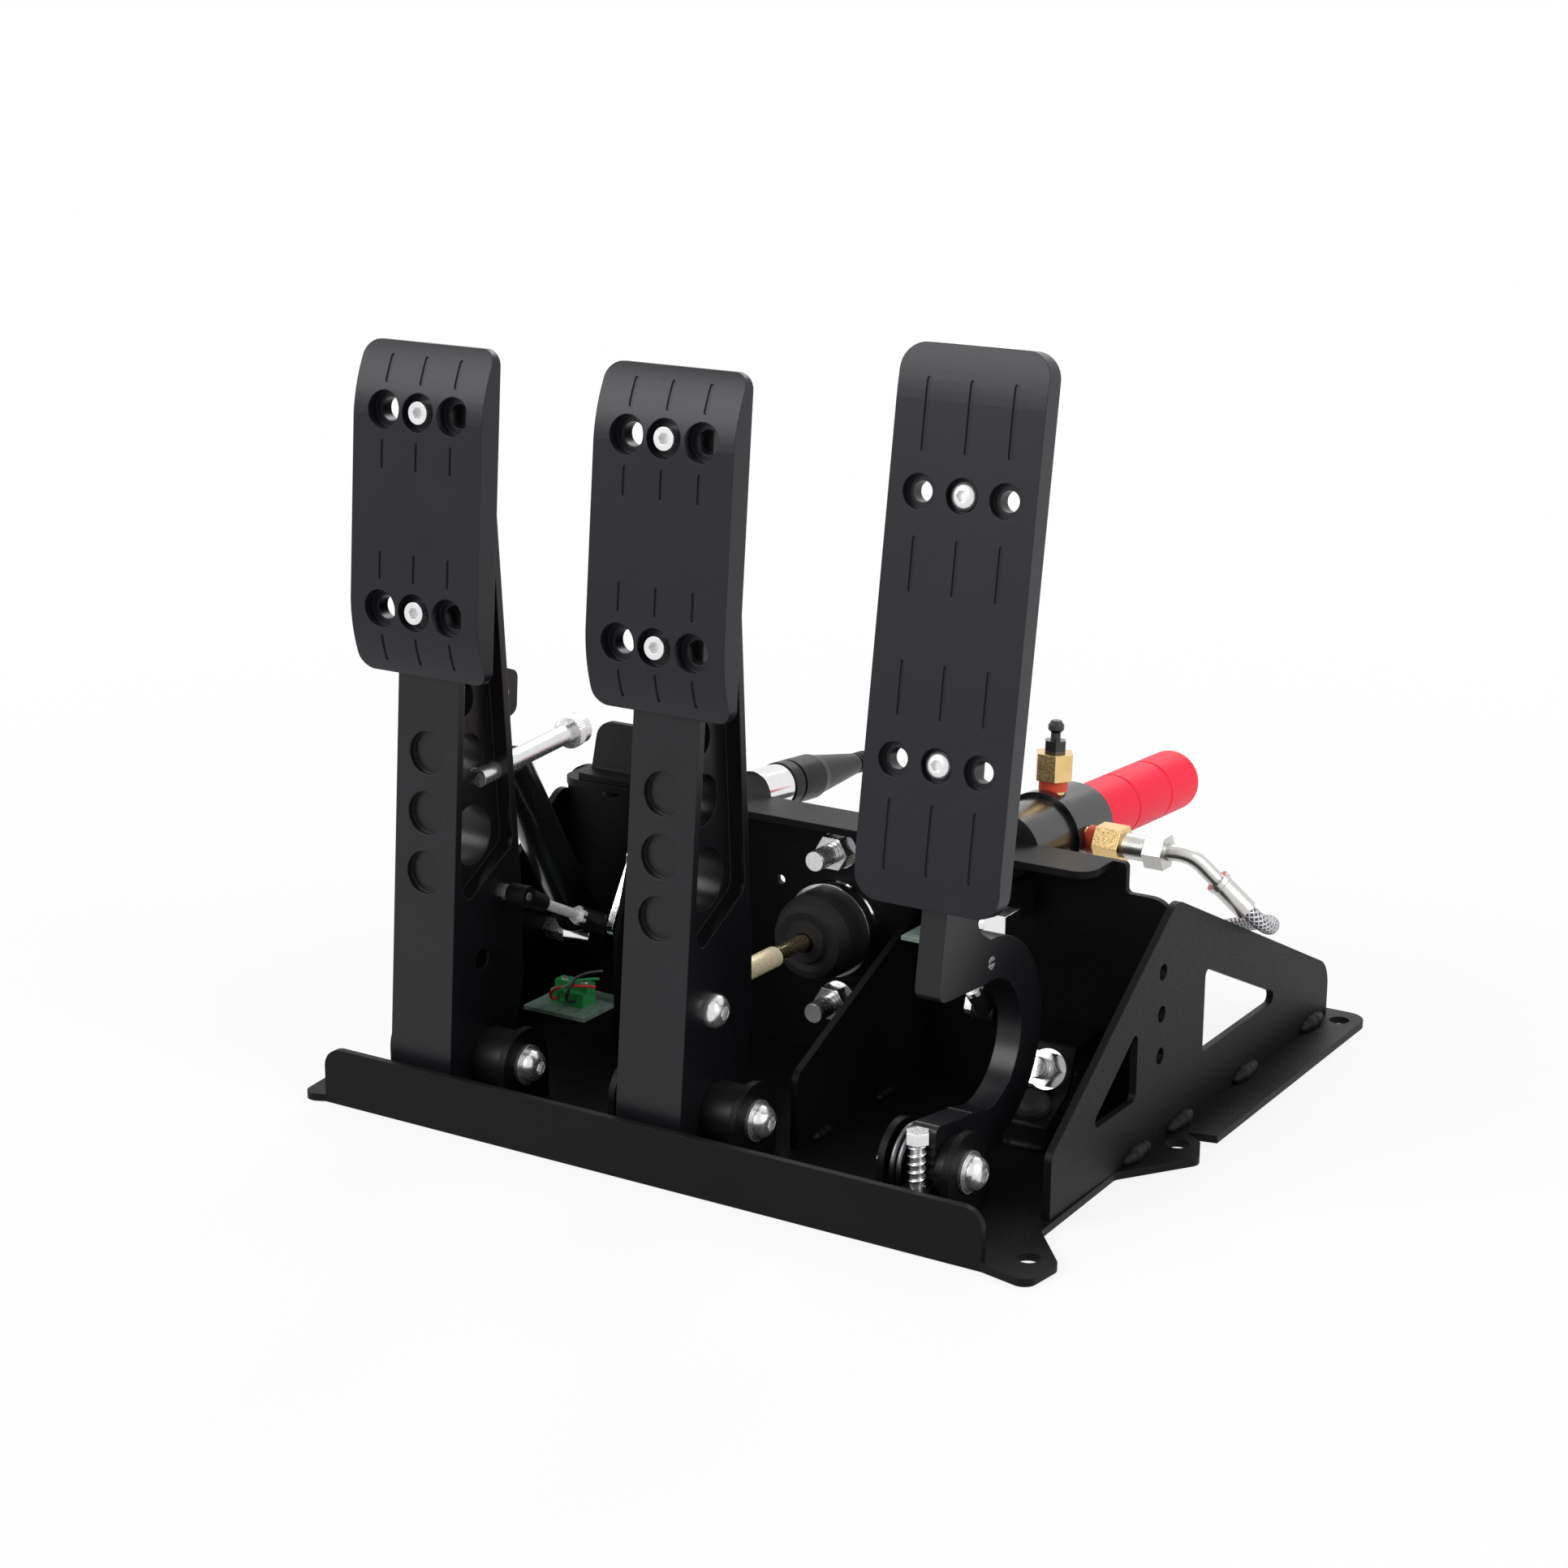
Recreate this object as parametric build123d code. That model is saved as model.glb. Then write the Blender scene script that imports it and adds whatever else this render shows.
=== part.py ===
from build123d import *
from math import atan2, cos, degrees, pi, radians, sin, tan
import os

# Sim racing pedal set: a folded steel base carries three hanging arms on low pivots.
# Lengths are millimetres. X runs to the driver's right, Y away from the driver and Z up.
# While it is drawn, x = 0 is midway between the columns of fixing holes, y = 0 is the
# front lip's outer face and z = 0 is the underside. Each piece is moved to the centre of
# the fixing holes when it is written.

# Sheet metal
sheet = 3.0
cut_over = 2.0
brake_x = -4.5
clutch_spacing = 107.0
throttle_spacing = 109.5
clutch_x = brake_x - clutch_spacing
throttle_x = brake_x + throttle_spacing
clutch_to_side = 28.0
throttle_to_side = 37.5
left_side_x = clutch_x - clutch_to_side
right_side_x = throttle_x + throttle_to_side

# Base plate
base_depth = 307.0
hole_reach_left = 10.9
hole_reach_right = 7.9
left_hole_x = left_side_x - sheet - hole_reach_left
right_hole_x = right_side_x + sheet + hole_reach_right
ear_reach = 13.0
fixing_hole = 8.5
front_hole_y = 13.5
mid_hole_share = 0.4417
mid_hole_y = base_depth * mid_hole_share
rear_hole_inset = 11.5
rear_hole_y = base_depth - rear_hole_inset
strip_inset = 12.0
floor_past_bulkhead = 1.5
base_round = 5.0
rear_round = 9.0
lip_height = 23.0
lip_round = 8.0
lip_left_reach = 10.0
lip_right_gap = 0.5
# Edge of the base outside the hole line: shares of ear_reach, then of base_depth.
base_edge_shares = [
    (0.677, -0.0143),
    (0.854, 0.0489),
    (-0.508, 0.1176),
    (-0.592, 0.318),
    (1.0, 0.415),
    (0.508, 0.4625),
    (-0.154, 0.4824),
    (0.746, 0.4912),
    (0.692, 1.0),
]

# Bulkhead with its folded flange
bulkhead_y = 148.0
bulkhead_rear = bulkhead_y + sheet
flange_top = 106.5
flange_reach = 20.0
flange_end_gap = 26.5
flange_round = 8.0
shoulder_drop = 12.0
shoulder_round = 10.0
relief_width = 6.0
bulkhead_hole = 4.0
bulkhead_hole_share = 0.733
bulkhead_hole_x = clutch_x + bulkhead_hole_share * clutch_spacing
bulkhead_hole_z = 73.0
fold_round = 2.0

# Side plates
side_front_y = 45.0
side_rear_y = 300.0
side_length = side_rear_y - side_front_y
apex_z = 96.9
apex_ahead = 3.3
apex_y = bulkhead_y - apex_ahead
side_front_share = 0.265
side_rear_share = 0.2386
side_height = apex_z - sheet
side_round = 5.0
apex_round = 9.0
rear_corner_round = 15.0
window_round = 2.7
# Windows: shares of side_length, then of side_height.
front_window_shares = [(0.1137, 0.25), (0.269, 0.25), (0.269, 0.56)]
rear_window_shares = [(0.5012, 0.25), (0.808, 0.25), (0.5012, 0.626)]
strut_hole = 6.5
strut_hole_ahead = 14.3
strut_hole_pitch = 16.85
strut_low_z = 37.7
strut_low_y = bulkhead_y - strut_hole_ahead

# Centre gusset
gusset_share = 0.342
gusset_x = brake_x + gusset_share * throttle_spacing
gusset_front_y = 52.0
gusset_front_z = 33.0
gusset_rear_z = 75.3
gusset_round = 6.0

# Pivots, shared by the three pedals
pivot_y = 34.0
pivot_z = 20.0
pivot_bolt = 8.0
pivot_fit = 0.08
ear_radius = 14.5
clutch_ear_left = 20.5
clutch_ear_right = 29.5
brake_ear_left = 22.5
brake_ear_right = 28.8
throttle_ear_left = 14.0
throttle_ear_right = 9.6
side_play = 0.2
bush_diameter = 24.0
coil_bush_diameter = 20.0
button_head = 13.0
button_height = 5.5
button_socket = 5.0
button_socket_depth = 2.6
washer_diameter = 16.0
washer_thickness = 1.6
nut_flats = 13.0
nut_height = 6.8
thin_nut_height = 4.0

# Clutch and brake arms. Depths run back from the front face, heights run up the arm
# from the pivot.
arm_width = 29.0
arm_front = 25.0
clutch_tilt = 4.4
brake_tilt = 5.3
arm_top = 266.0
hub_radius = 13.5
arm_knee_height = 30.0
arm_knee_depth = 46.5
arm_taper_height = 67.0
arm_taper_depth = 43.0
arm_top_depth = 13.0
arm_edge_round = 1.2
pocket_depth = 6.5
pocket_front_rim = 3.6
pocket_rear_rim = 3.5
pocket_low_rear = 84.0
pocket_low_front = 65.0
pocket_low_depth = 8.5
pocket_top_gap = 9.0
pocket_round = 3.0
# Web holes: height, depth and diameter
web_holes = [(143.5, 10.8, 13.5), (120.0, 14.6, 19.5), (89.5, 18.8, 24.0)]
dimple_diameter = 17.0
dimple_depth = 2.8
dimple_heights = [123.5, 100.0, 76.5]
cross_hole_height = 40.6
cross_hole_depth = 18.5
cross_hole = 8.0
rod_slot_width = 12.0
rod_slot_low = 27.0
rod_slot_high = 54.0
rod_slot_depth = 8.0

# Clutch and brake pads
pad_width = 60.0
pad_length = 125.5
pad_thick = 10.6
pad_end_thick = 2.5
pad_flat_half = 35.0
pad_bulge_share = 0.72
pad_centre_height = 216.0
pad_round = 6.0
pad_row = 37.5
pad_column = 16.0
pad_bore = 14.5
pad_bore_depth = 5.2
pad_through = 9.0
pad_screw_head = 8.5
pad_screw_head_height = 5.0
pad_screw_shank = 5.0
pad_screw_length = 12.0
pad_screw_socket = 4.0
groove_width = 1.4
groove_depth = 0.6
pad_groove_shares = [(-0.924, -0.757), (-0.422, -0.247), (0.247, 0.422), (0.757, 0.924)]

# Throttle arm: a plate with a C-shaped bow, a top block and a hub
throttle_thick = 10.0
bow_y = 62.5
bow_z = 57.5
bow_inner = 25.0
bow_outer = 41.0
throttle_tilt = 8.8
throttle_face_y = 28.5
throttle_face_z = 117.0
throttle_block_low = 84.8
throttle_block_depth = 32.5
throttle_neck_z = 107.9
throttle_neck_depth = 22.0
throttle_neck_round = 8.0
throttle_top_z = 300.0
throttle_top_depth = 11.0
throttle_corner_round = 5.0
throttle_hub = 11.0
throttle_beam_z = 38.9
throttle_beam_knee_y = 50.3
throttle_beam_knee_z = 35.2
throttle_wall_y = 23.5
ledge_front_y = 15.8
ledge_top_z = 16.5
ledge_low_z = 9.0
throttle_pin_y = 63.1
throttle_pin_z = 89.2
throttle_pin = 5.0

# Throttle pad
tpad_width = 58.0
tpad_length = 196.0
tpad_thick = 9.0
tpad_end_thick = 7.0
tpad_low_z = 119.0
tpad_round = 9.5
tpad_row_low = 51.2
tpad_row_high = 144.8
tpad_column = 17.0
tpad_bore = 12.5
tpad_bore_depth = 3.3
tpad_through = 7.6
tpad_screw_head = 10.5
tpad_screw_height = 3.2
tpad_screw_shank = 6.0
tpad_screw_length = 10.0
tpad_groove_shares = [(-0.88, -0.62), (-0.32, -0.12), (0.12, 0.32), (0.62, 0.88)]

# Idle stop on the throttle's ledge
idle_y = 19.3
idle_bolt = 5.0
idle_head_flats = 8.0
idle_head_height = 4.5
idle_head_low = 33.5
idle_tip_gap = 0.3
spring_wire = 0.9
spring_mean = 5.9
idle_turns = 5

# Throttle return spring
return_wire = 2.4
return_mean_radius = 12.4
return_pitch = 2.85
return_half_turns = 4
return_leg_end_y = 109.0
return_leg_rise = 9.0
return_leg_dip = 2.5
return_play = 0.65

# Throttle's full-travel stop
stop_bracket_width = 19.0
stop_front_y = 101.0
stop_front_z = 13.0
stop_bolt = 8.0
stop_bolt_rise = 23.0
stop_tip_y = 109.0
stop_tip_z = 33.0
bumper_diameter = 14.0
bumper_y = 108.8
bumper_height = 5.5

# Clutch stop: a leaned tab on the flange, and the long screw in the arm
tab_left_reach = 8.5
tab_right_reach = 18.0
tab_left_x = clutch_x - tab_left_reach
tab_right_x = clutch_x + tab_right_reach
tab_top_z = 128.5
tab_lean = 16.0
tab_foot_reach = 10.0
tab_round = 6.0
tab_screw = 4.0
tab_screw_head = 7.0
tab_screw_head_height = 2.4
stop_screw_side = 7.5
stop_screw_x = clutch_x + stop_screw_side
stop_screw_height = 113.5
stop_screw_reach = 53.5
stop_screw_shank = 8.0
stop_screw_head = 13.0
stop_screw_head_height = 8.0
stop_screw_socket = 6.0
stop_screw_socket_depth = 4.0
stop_screw_sink = 14.0

# Clutch strut
strut_side = 9.5
strut_x = clutch_x - strut_side
strut_cylinder = 18.0
strut_cylinder_length = 95.0
strut_rod = 8.0
strut_end_gap = 9.0
strut_overlap = 35.0
socket_diameter = 13.0
socket_length = 15.0
ball_diameter = 8.0
ball_fit = 0.3
ball_shank = 5.0

# Brake master cylinder
master_z = 59.0
stud_rise = 32.0
stud_diameter = 8.0
stud_tip_y = 127.0
master_body = 32.0
master_flange_thick = 10.0
master_flange_round = 12.0
master_length = 78.0
master_bore = 17.8
master_spigot = 30.0
outlet_y = 208.0
outlet_reach = 24.0
outlet_diameter = 13.0
boot_rear = 36.0
boot_front = 30.0
boot_collar = 18.0
boot_front_y = 121.5
boot_ring = 39.0
boot_ring_width = 10.0
boot_wall = 2.0
boot_hole_room = 1.0
pushrod_diameter = 6.5
pushrod_thread = 8.0
pushrod_thread_rear = 99.0
pushrod_eye = 15.0
pushrod_eye_width = 10.0
pushrod_piston_y = 156.0
piston_length = 24.0
piston_diameter = 17.6

# Brake slave cylinder with its elastomers
slave_x = 67.0
slave_y = 192.0
slave_z = 98.5
slave_drop = 2.8
slave_barrel = 33.0
slave_band = 34.0
slave_ring = 37.0
slave_cap = 31.0
slave_ring_width = 5.0
slave_band_end = 212.0
slave_cap_width = 5.0
slave_bore = 22.0
slave_wall_front = 8.0
elastomer = 26.0
elastomer_length = 30.6
elastomer_round = 5.0
elastomer_gap = 0.3
elastomer_count = 3
slave_rod = 9.0
slave_rod_fit = 0.1

# Hydraulic fittings
fitting_thread = 10.0
fitting_thread_length = 5.0
brass_flats = 14.0
brass_length = 11.0
fitting_seat = 16.5
nipple_flats = 8.0
nipple_hex = 5.0
nipple_waist = 4.0
nipple_top = 6.5
nipple_height = 13.0
hose_thread = 10.0
hose_thread_length = 10.5
hose_nut_flats = 13.0
hose_nut_length = 8.0
tube_diameter = 6.5
ferrule_diameter = 9.0
ferrule_length = 17.0
hose_diameter = 6.4

# Pressure sensor on the bulkhead
gauge_x = -49.0
gauge_z = 107.0
gauge_drop = 5.0
gauge_tube = 18.0
gauge_tube_length = 19.0
gauge_collar = 19.0
gauge_collar_length = 25.0
gauge_tail = 9.0
gauge_tail_length = 37.0
relief_rib = 9.0
relief_core = 6.5
relief_ribs = 4
relief_pitch = 2.2
gauge_groove = 1.0

# Position sensors with their links
link_rod = 4.0
link_cup = 8.5
link_cup_length = 16.0
link_ball = 5.0
link_stud = 3.2
link_nut_flats = 6.5
link_nut_height = 2.4
lever_width = 8.0
lever_thick = 3.0
clutch_link_side = 21.5
clutch_link_x = clutch_x + clutch_link_side
clutch_link_front_y = 47.0
clutch_link_front_z = 84.0
clutch_link_rear_y = 101.0
clutch_link_rear_z = 57.0
clutch_shaft_y = 117.0
clutch_shaft_z = 82.0
clutch_lever_gap = 5.5
sensor_shaft = 6.0
sensor_body = 17.0
sensor_body_length = 14.0
shaft_fit = 0.08
throttle_link_side = 13.0
throttle_link_x = throttle_x - throttle_link_side
throttle_link_front_y = 63.1
throttle_link_front_z = 89.2
throttle_link_rear_y = 94.5
throttle_link_rear_z = 58.0
throttle_shaft_y = 105.0
throttle_shaft_z = 88.0
throttle_lever_gap = 5.0
board_thick = 1.6
board_width = 30.0
board_depth = 30.0
board_low_z = 24.0
board_front_y = 75.0
terminal_width = 16.0
terminal_depth = 9.0
terminal_height = 9.0
wire_diameter = 1.3
wire_bow = 9.0
bracket_thick = 2.0

# Places of the throttle stop's nut and face along its stud, back from the tip
stop_nut_along = 4.5
stop_face_low = 7.8
stop_face_high = 10.5

# Clutch arm's lug and strut details
lug_middle = 141.66
lug_reach = 9.435
lug_height = 27.0
lug_round = 8.0
lug_thick = 6.0
lug_gap = 9.0
socket_neck = 9.0
stud_nut_flats = 9.5
strut_stroke_room = 28.0

# Master cylinder's nose and piston travel
spigot_reach = 4.0
piston_room = 10.0

# Fitting details
seal_over = 1.6
slave_ring_start = slave_y - (fitting_thread + seal_over) / 2 - side_play - slave_ring_width
nipple_bore = 5.0
thread_engaged = 4.0
tube_knee_reach = 9.0
tube_knee_back = 3.0
ferrule_end = (147.0, 206.0, 76.0)
hose_lead = 12.0
hose_tail = 16.0
hose_route = [
    (150.0, 228.0, 65.5),
    (131.0, 243.0, 57.5),
    (105.0, 246.0, 46.0),
    (78.0, 236.0, 45.0),
    (57.0, 217.0, 53.0),
]

# Sensor details
bracket_gap = 1.0
clutch_plate_lead = 5.0
clamp_height = 12.0
terminal_inset = 9.0


def corner_face(corners):
    """A flat face through the corners (u, v, radius), rounded where the radius is not 0."""
    face = make_face(Polyline(*[(u, v) for u, v, _ in corners], close=True))
    for u, v, radius in corners:
        if radius > 0:
            here = Vector(u, v)
            found = min(face.vertices(), key=lambda p: (Vector(p.X, p.Y) - here).length)
            face = fillet(found, radius)
    return face


def slab_x(corners, low, high):
    """A plate between two x places, drawn by its y and z corners."""
    return extrude(Plane.YZ.offset(low) * corner_face(corners), amount=high - low)


def slab_z(corners, low, high):
    """A plate between two heights, drawn by its x and y corners."""
    return extrude(Pos(0, 0, low) * corner_face(corners), amount=high - low)


def box_between(low, high):
    """A block between two opposite corners."""
    size = [b - a for a, b in zip(low, high)]
    middle = [(a + b) / 2 for a, b in zip(low, high)]
    return Pos(*middle) * Box(*size)


def facing(start, direction):
    """A plane at start that looks along direction, with its own x level where it can be."""
    way = Vector(*direction).normalized()
    side = Vector(0, 0, 1).cross(way)
    if way.Z in (-1, 1):
        side = Vector(1, 0, 0)
    return Plane(origin=start, x_dir=side.normalized(), z_dir=way)


def round_bar(start, direction, length, diameter):
    """A round bar from start along direction."""
    return extrude(facing(start, direction) * Circle(diameter / 2), amount=length)


def hex_bar(start, direction, length, flats):
    """A hexagonal bar from start along direction."""
    outline = RegularPolygon(flats / 2, 6, major_radius=False)
    return extrude(facing(start, direction) * outline, amount=length)


def ring(start, direction, length, outer, inner):
    """A round bar with a round hole down its middle."""
    plane = facing(start, direction)
    return extrude(plane * (Circle(outer / 2) - Circle(inner / 2)), amount=length)


def turned(start, direction, profile):
    """A turned piece: profile lists (radius, place along) from the start."""
    face = make_face(Polyline(*[(r, 0, h) for r, h in profile], close=True))
    return facing(start, direction).location * revolve(face, Axis.Z)


def ends_between(a, b):
    """The unit direction and the distance from a to b."""
    step = Vector(*b) - Vector(*a)
    return step.normalized(), step.length


def arm_point(tilt, x, height, depth):
    """A place on a tilted arm: height up from the pivot, depth back from the front face."""
    back = depth - arm_front
    y = pivot_y + height * sin(radians(tilt)) + back * cos(radians(tilt))
    z = pivot_z + height * cos(radians(tilt)) - back * sin(radians(tilt))
    return (x, y, z)


def arm_back(tilt):
    """The direction square to an arm's front face, away from the driver."""
    return (0, cos(radians(tilt)), -sin(radians(tilt)))


def cord_path(points):
    """A route of straight runs joined by arcs as large as the runs allow, with its length."""
    spots = [Vector(*p) for p in points]
    radii = []
    for before, here, after in zip(spots, spots[1:], spots[2:]):
        turn = (here - before).get_angle(after - here)
        short = min((here - before).length, (after - here).length)
        radii.append(0.45 * short / tan(radians(turn) / 2))
    return FilletPolyline(*points, radius=radii), radii


def cord(points, diameter, name):
    """A round cord along a route, with its radii and its volume against section and length."""
    path, radii = cord_path(points)
    start = Plane(origin=path @ 0, z_dir=path % 0)
    tube = sweep(start * Circle(diameter / 2), path=path)
    wanted = pi * diameter**2 / 4 * path.length
    print(name, "radii", [round(r, 1) for r in radii], "length", round(path.length, 1))
    print(name, "volume over section times length", round(tube.volume / wanted, 4))
    return tube


def helix_wire(radius, pitch, half_turns, steps_per_half=8):
    """Points along a coil about Z, for printing the least gap between its turns."""
    points = []
    for k in range(half_turns * steps_per_half + 1):
        angle = pi * k / steps_per_half
        points.append(Vector(radius * cos(angle), radius * sin(angle), pitch * angle / 2 / pi))
    return points


def coil_path(radius, pitch, half_turns, first_angle=0.0, hand=1):
    """A coil about Z made of quarter-turn biarcs; hand is 1 or -1 for its winding."""
    slope = atan2(pitch, 2 * pi * radius)
    edges = []
    quarters = 2 * half_turns

    def spot(q):
        angle = radians(first_angle) + hand * q * pi / 2
        return Vector(radius * cos(angle), radius * sin(angle), pitch * q / 4)

    def heading(q):
        angle = radians(first_angle) + hand * q * pi / 2
        flat = Vector(-sin(angle), cos(angle), 0) * (hand * cos(slope))
        return flat + Vector(0, 0, sin(slope))

    for q in range(quarters):
        a, b = spot(q), spot(q + 1)
        ta, tb = heading(q), heading(q + 1)
        chord = b - a
        both = ta + tb
        lead = chord.dot(both)
        spare = 2 * (1 - ta.dot(tb))
        reach = (-lead + (lead**2 + spare * chord.dot(chord)) ** 0.5) / spare
        middle = (a + b + (ta - tb) * reach) * 0.5
        edges.append(TangentArc(a, middle, tangent=ta))
        edges.append(TangentArc(middle, b, tangent=edges[-1] % 1))
    return edges


def least_gap(radius, pitch, half_turns, wire, name):
    """The least gap between turns of a coil, measured on points, printed."""
    steps = 24
    points = helix_wire(radius, pitch, half_turns, steps)
    gaps = [
        (points[i] - points[j]).length - wire
        for i in range(len(points))
        for j in range(i + int(1.5 * steps), len(points))
    ]
    if gaps:
        print(name, "least gap between turns", round(min(gaps), 2))


# Base plate: a U-shaped floor with six fixing ears and a folded front lip
def base_edge(hole_x, side):
    return [(hole_x + side * u * ear_reach, v * base_depth) for u, v in base_edge_shares]


def base_plate():
    right = base_edge(right_hole_x, 1)
    left = base_edge(left_hole_x, -1)
    lip_left = left_side_x - sheet - lip_left_reach
    lip_right = right_side_x - lip_right_gap
    inner_right = right_side_x - strip_inset
    inner_left = left_side_x + strip_inset
    floor_rear = bulkhead_rear + floor_past_bulkhead
    rounds = [base_round] * (len(right) - 4) + [0, 0, 0, rear_round]
    corners = [(lip_left, 0, 0), (lip_right, 0, 0)]
    corners += [(x, y, r) for (x, y), r in zip(right, rounds)]
    corners += [(inner_right, base_depth, rear_round), (inner_right, floor_rear, rear_round)]
    corners += [(inner_left, floor_rear, rear_round), (inner_left, base_depth, rear_round)]
    corners += [(x, y, r) for (x, y), r in reversed(list(zip(left, rounds)))]
    plate = slab_z(corners, 0, sheet)
    lip_corners = [
        (lip_left, 0, 0),
        (lip_right, 0, 0),
        (lip_right, lip_height, lip_round),
        (lip_left, lip_height, lip_round),
    ]
    lip = extrude(Plane.XZ * corner_face(lip_corners), amount=-sheet)
    plate = plate + lip
    for x in (left_hole_x, right_hole_x):
        for y in (front_hole_y, mid_hole_y, rear_hole_y):
            plate = plate - round_bar((x, y, -cut_over), (0, 0, 1), sheet + 2 * cut_over, fixing_hole)
    return plate


# Side plates: welded gussets with two windows and three holes for the strut's stud
def side_plate(inner_x, outward):
    front_z = sheet + side_front_share * side_height
    rear_z = sheet + side_rear_share * side_height
    corners = [
        (side_front_y, sheet, 0),
        (side_rear_y, sheet, 0),
        (side_rear_y, rear_z, rear_corner_round),
        (apex_y, apex_z, apex_round),
        (side_front_y, front_z, side_round),
    ]
    low, high = sorted((inner_x, inner_x + outward * sheet))
    plate = slab_x(corners, low, high)
    for shares in (front_window_shares, rear_window_shares):
        window = [
            (side_front_y + u * side_length, sheet + v * side_height, window_round)
            for u, v in shares
        ]
        plate = plate - slab_x(window, low - cut_over, high + cut_over)
    for step in range(3):
        spot = (low - cut_over, strut_low_y, strut_low_z + step * strut_hole_pitch)
        plate = plate - round_bar(spot, (1, 0, 0), sheet + 2 * cut_over, strut_hole)
    return plate


def centre_gusset():
    corners = [
        (gusset_front_y, sheet, 0),
        (bulkhead_y, sheet, 0),
        (bulkhead_y, gusset_rear_z, 0),
        (gusset_front_y, gusset_front_z, gusset_round),
    ]
    return slab_x(corners, gusset_x - sheet / 2, gusset_x + sheet / 2)


# Bulkhead: a wall right across, with a flange folded towards the driver
slave_way = Vector(0, cos(radians(slave_drop)), -sin(radians(slave_drop)))
gauge_way = Vector(0, cos(radians(gauge_drop)), -sin(radians(gauge_drop)))


def bulkhead():
    shoulder_x = right_side_x - flange_end_gap + relief_width
    corners = [
        (left_side_x, sheet, 0),
        (right_side_x, sheet, 0),
        (right_side_x, flange_top - shoulder_drop, shoulder_round),
        (shoulder_x, flange_top - shoulder_drop, fold_round),
        (shoulder_x, flange_top, fold_round),
        (left_side_x, flange_top, shoulder_round),
    ]
    wall = extrude(Plane.XZ.offset(-bulkhead_rear) * corner_face(corners), amount=sheet)
    flange_right = right_side_x - flange_end_gap
    flange = slab_z(
        [
            (left_side_x + shoulder_round, bulkhead_rear - sheet / 2, 0),
            (left_side_x + shoulder_round, bulkhead_y - flange_reach, flange_round),
            (flange_right, bulkhead_y - flange_reach, flange_round),
            (flange_right, bulkhead_rear - sheet / 2, 0),
        ],
        flange_top - sheet,
        flange_top,
    )
    wall = wall + flange
    through = sheet + 2 * cut_over
    front = bulkhead_y - cut_over
    wall = wall - round_bar((bulkhead_hole_x, front, bulkhead_hole_z), (0, 1, 0), through, bulkhead_hole)
    wall = wall - round_bar((brake_x, front, master_z), (0, 1, 0), through, master_spigot + 2 * side_play)
    for rise in (-stud_rise, stud_rise):
        spot = (brake_x, front, master_z + rise)
        wall = wall - round_bar(spot, (0, 1, 0), through, stud_diameter + 2 * side_play)
    screw_x = (tab_left_x + tab_right_x) / 2
    screw_y = bulkhead_y - flange_reach + tab_foot_reach / 2
    spot = (screw_x, screw_y, flange_top - sheet - cut_over)
    return wall - round_bar(spot, (0, 0, 1), through, tab_screw)


# Pivot ears, bolts and bushes of the three pedals
pedal_ears = [
    (clutch_x, clutch_ear_left, clutch_ear_right, arm_width),
    (brake_x, brake_ear_left, brake_ear_right, arm_width),
    (throttle_x, throttle_ear_left, throttle_ear_right, throttle_thick),
]
along_x = (1, 0, 0)


def pivot_ears():
    ears = []
    for centre, left, right, _ in pedal_ears:
        for inner in (centre - left - sheet, centre + right):
            corners = [
                (pivot_y - ear_radius, sheet, 0),
                (pivot_y + ear_radius, sheet, 0),
                (pivot_y + ear_radius, pivot_z, 0),
                (pivot_y - ear_radius, pivot_z, 0),
            ]
            ear = slab_x(corners, inner, inner + sheet)
            ear = ear + round_bar((inner, pivot_y, pivot_z), along_x, sheet, 2 * ear_radius)
            hole = round_bar(
                (inner - cut_over, pivot_y, pivot_z),
                along_x,
                sheet + 2 * cut_over,
                pivot_bolt + 2 * pivot_fit,
            )
            ears.append(ear - hole)
    return Compound(children=ears)


def dome_head(start, direction, diameter, height, socket, socket_depth):
    """A button head: a dome with a hexagonal socket, seated at start."""
    rim = height / 4
    plane = facing(start, direction)
    side = Line((diameter / 2, 0, 0), (diameter / 2, 0, rim))
    top_half = diameter / 5
    dome = ThreePointArc(
        (diameter / 2, 0, rim),
        (diameter * 0.40, 0, rim + (height - rim) * 0.66),
        (top_half, 0, height),
    )
    face = make_face(
        [
            Line((0, 0, 0), (diameter / 2, 0, 0)),
            side,
            dome,
            Line((top_half, 0, height), (0, 0, height)),
            Line((0, 0, height), (0, 0, 0)),
        ]
    )
    head = revolve(face, Axis.Z)
    pocket = Pos(0, 0, height - socket_depth) * extrude(
        RegularPolygon(socket / 2, 6, major_radius=False), amount=socket_depth + cut_over
    )
    return plane.location * (head - pocket)


def pivot_bolts():
    bolts = []
    for centre, left, right, _ in pedal_ears:
        head_x = centre + right + sheet + washer_thickness
        tip_x = centre - left - sheet - thin_nut_height
        shank = round_bar((tip_x, pivot_y, pivot_z), along_x, head_x - tip_x, pivot_bolt)
        head = dome_head(
            (head_x, pivot_y, pivot_z),
            along_x,
            button_head,
            button_height,
            button_socket,
            button_socket_depth,
        )
        bolts.append(shank + head)
    return Compound(children=bolts)


def pivot_nuts():
    nuts = []
    for centre, left, _, _ in pedal_ears:
        start = (centre - left - sheet - thin_nut_height, pivot_y, pivot_z)
        nut = hex_bar(start, along_x, thin_nut_height, nut_flats)
        hole = round_bar(start, along_x, thin_nut_height, pivot_bolt + 2 * pivot_fit)
        nuts.append(nut - hole)
    return Compound(children=nuts)


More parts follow.
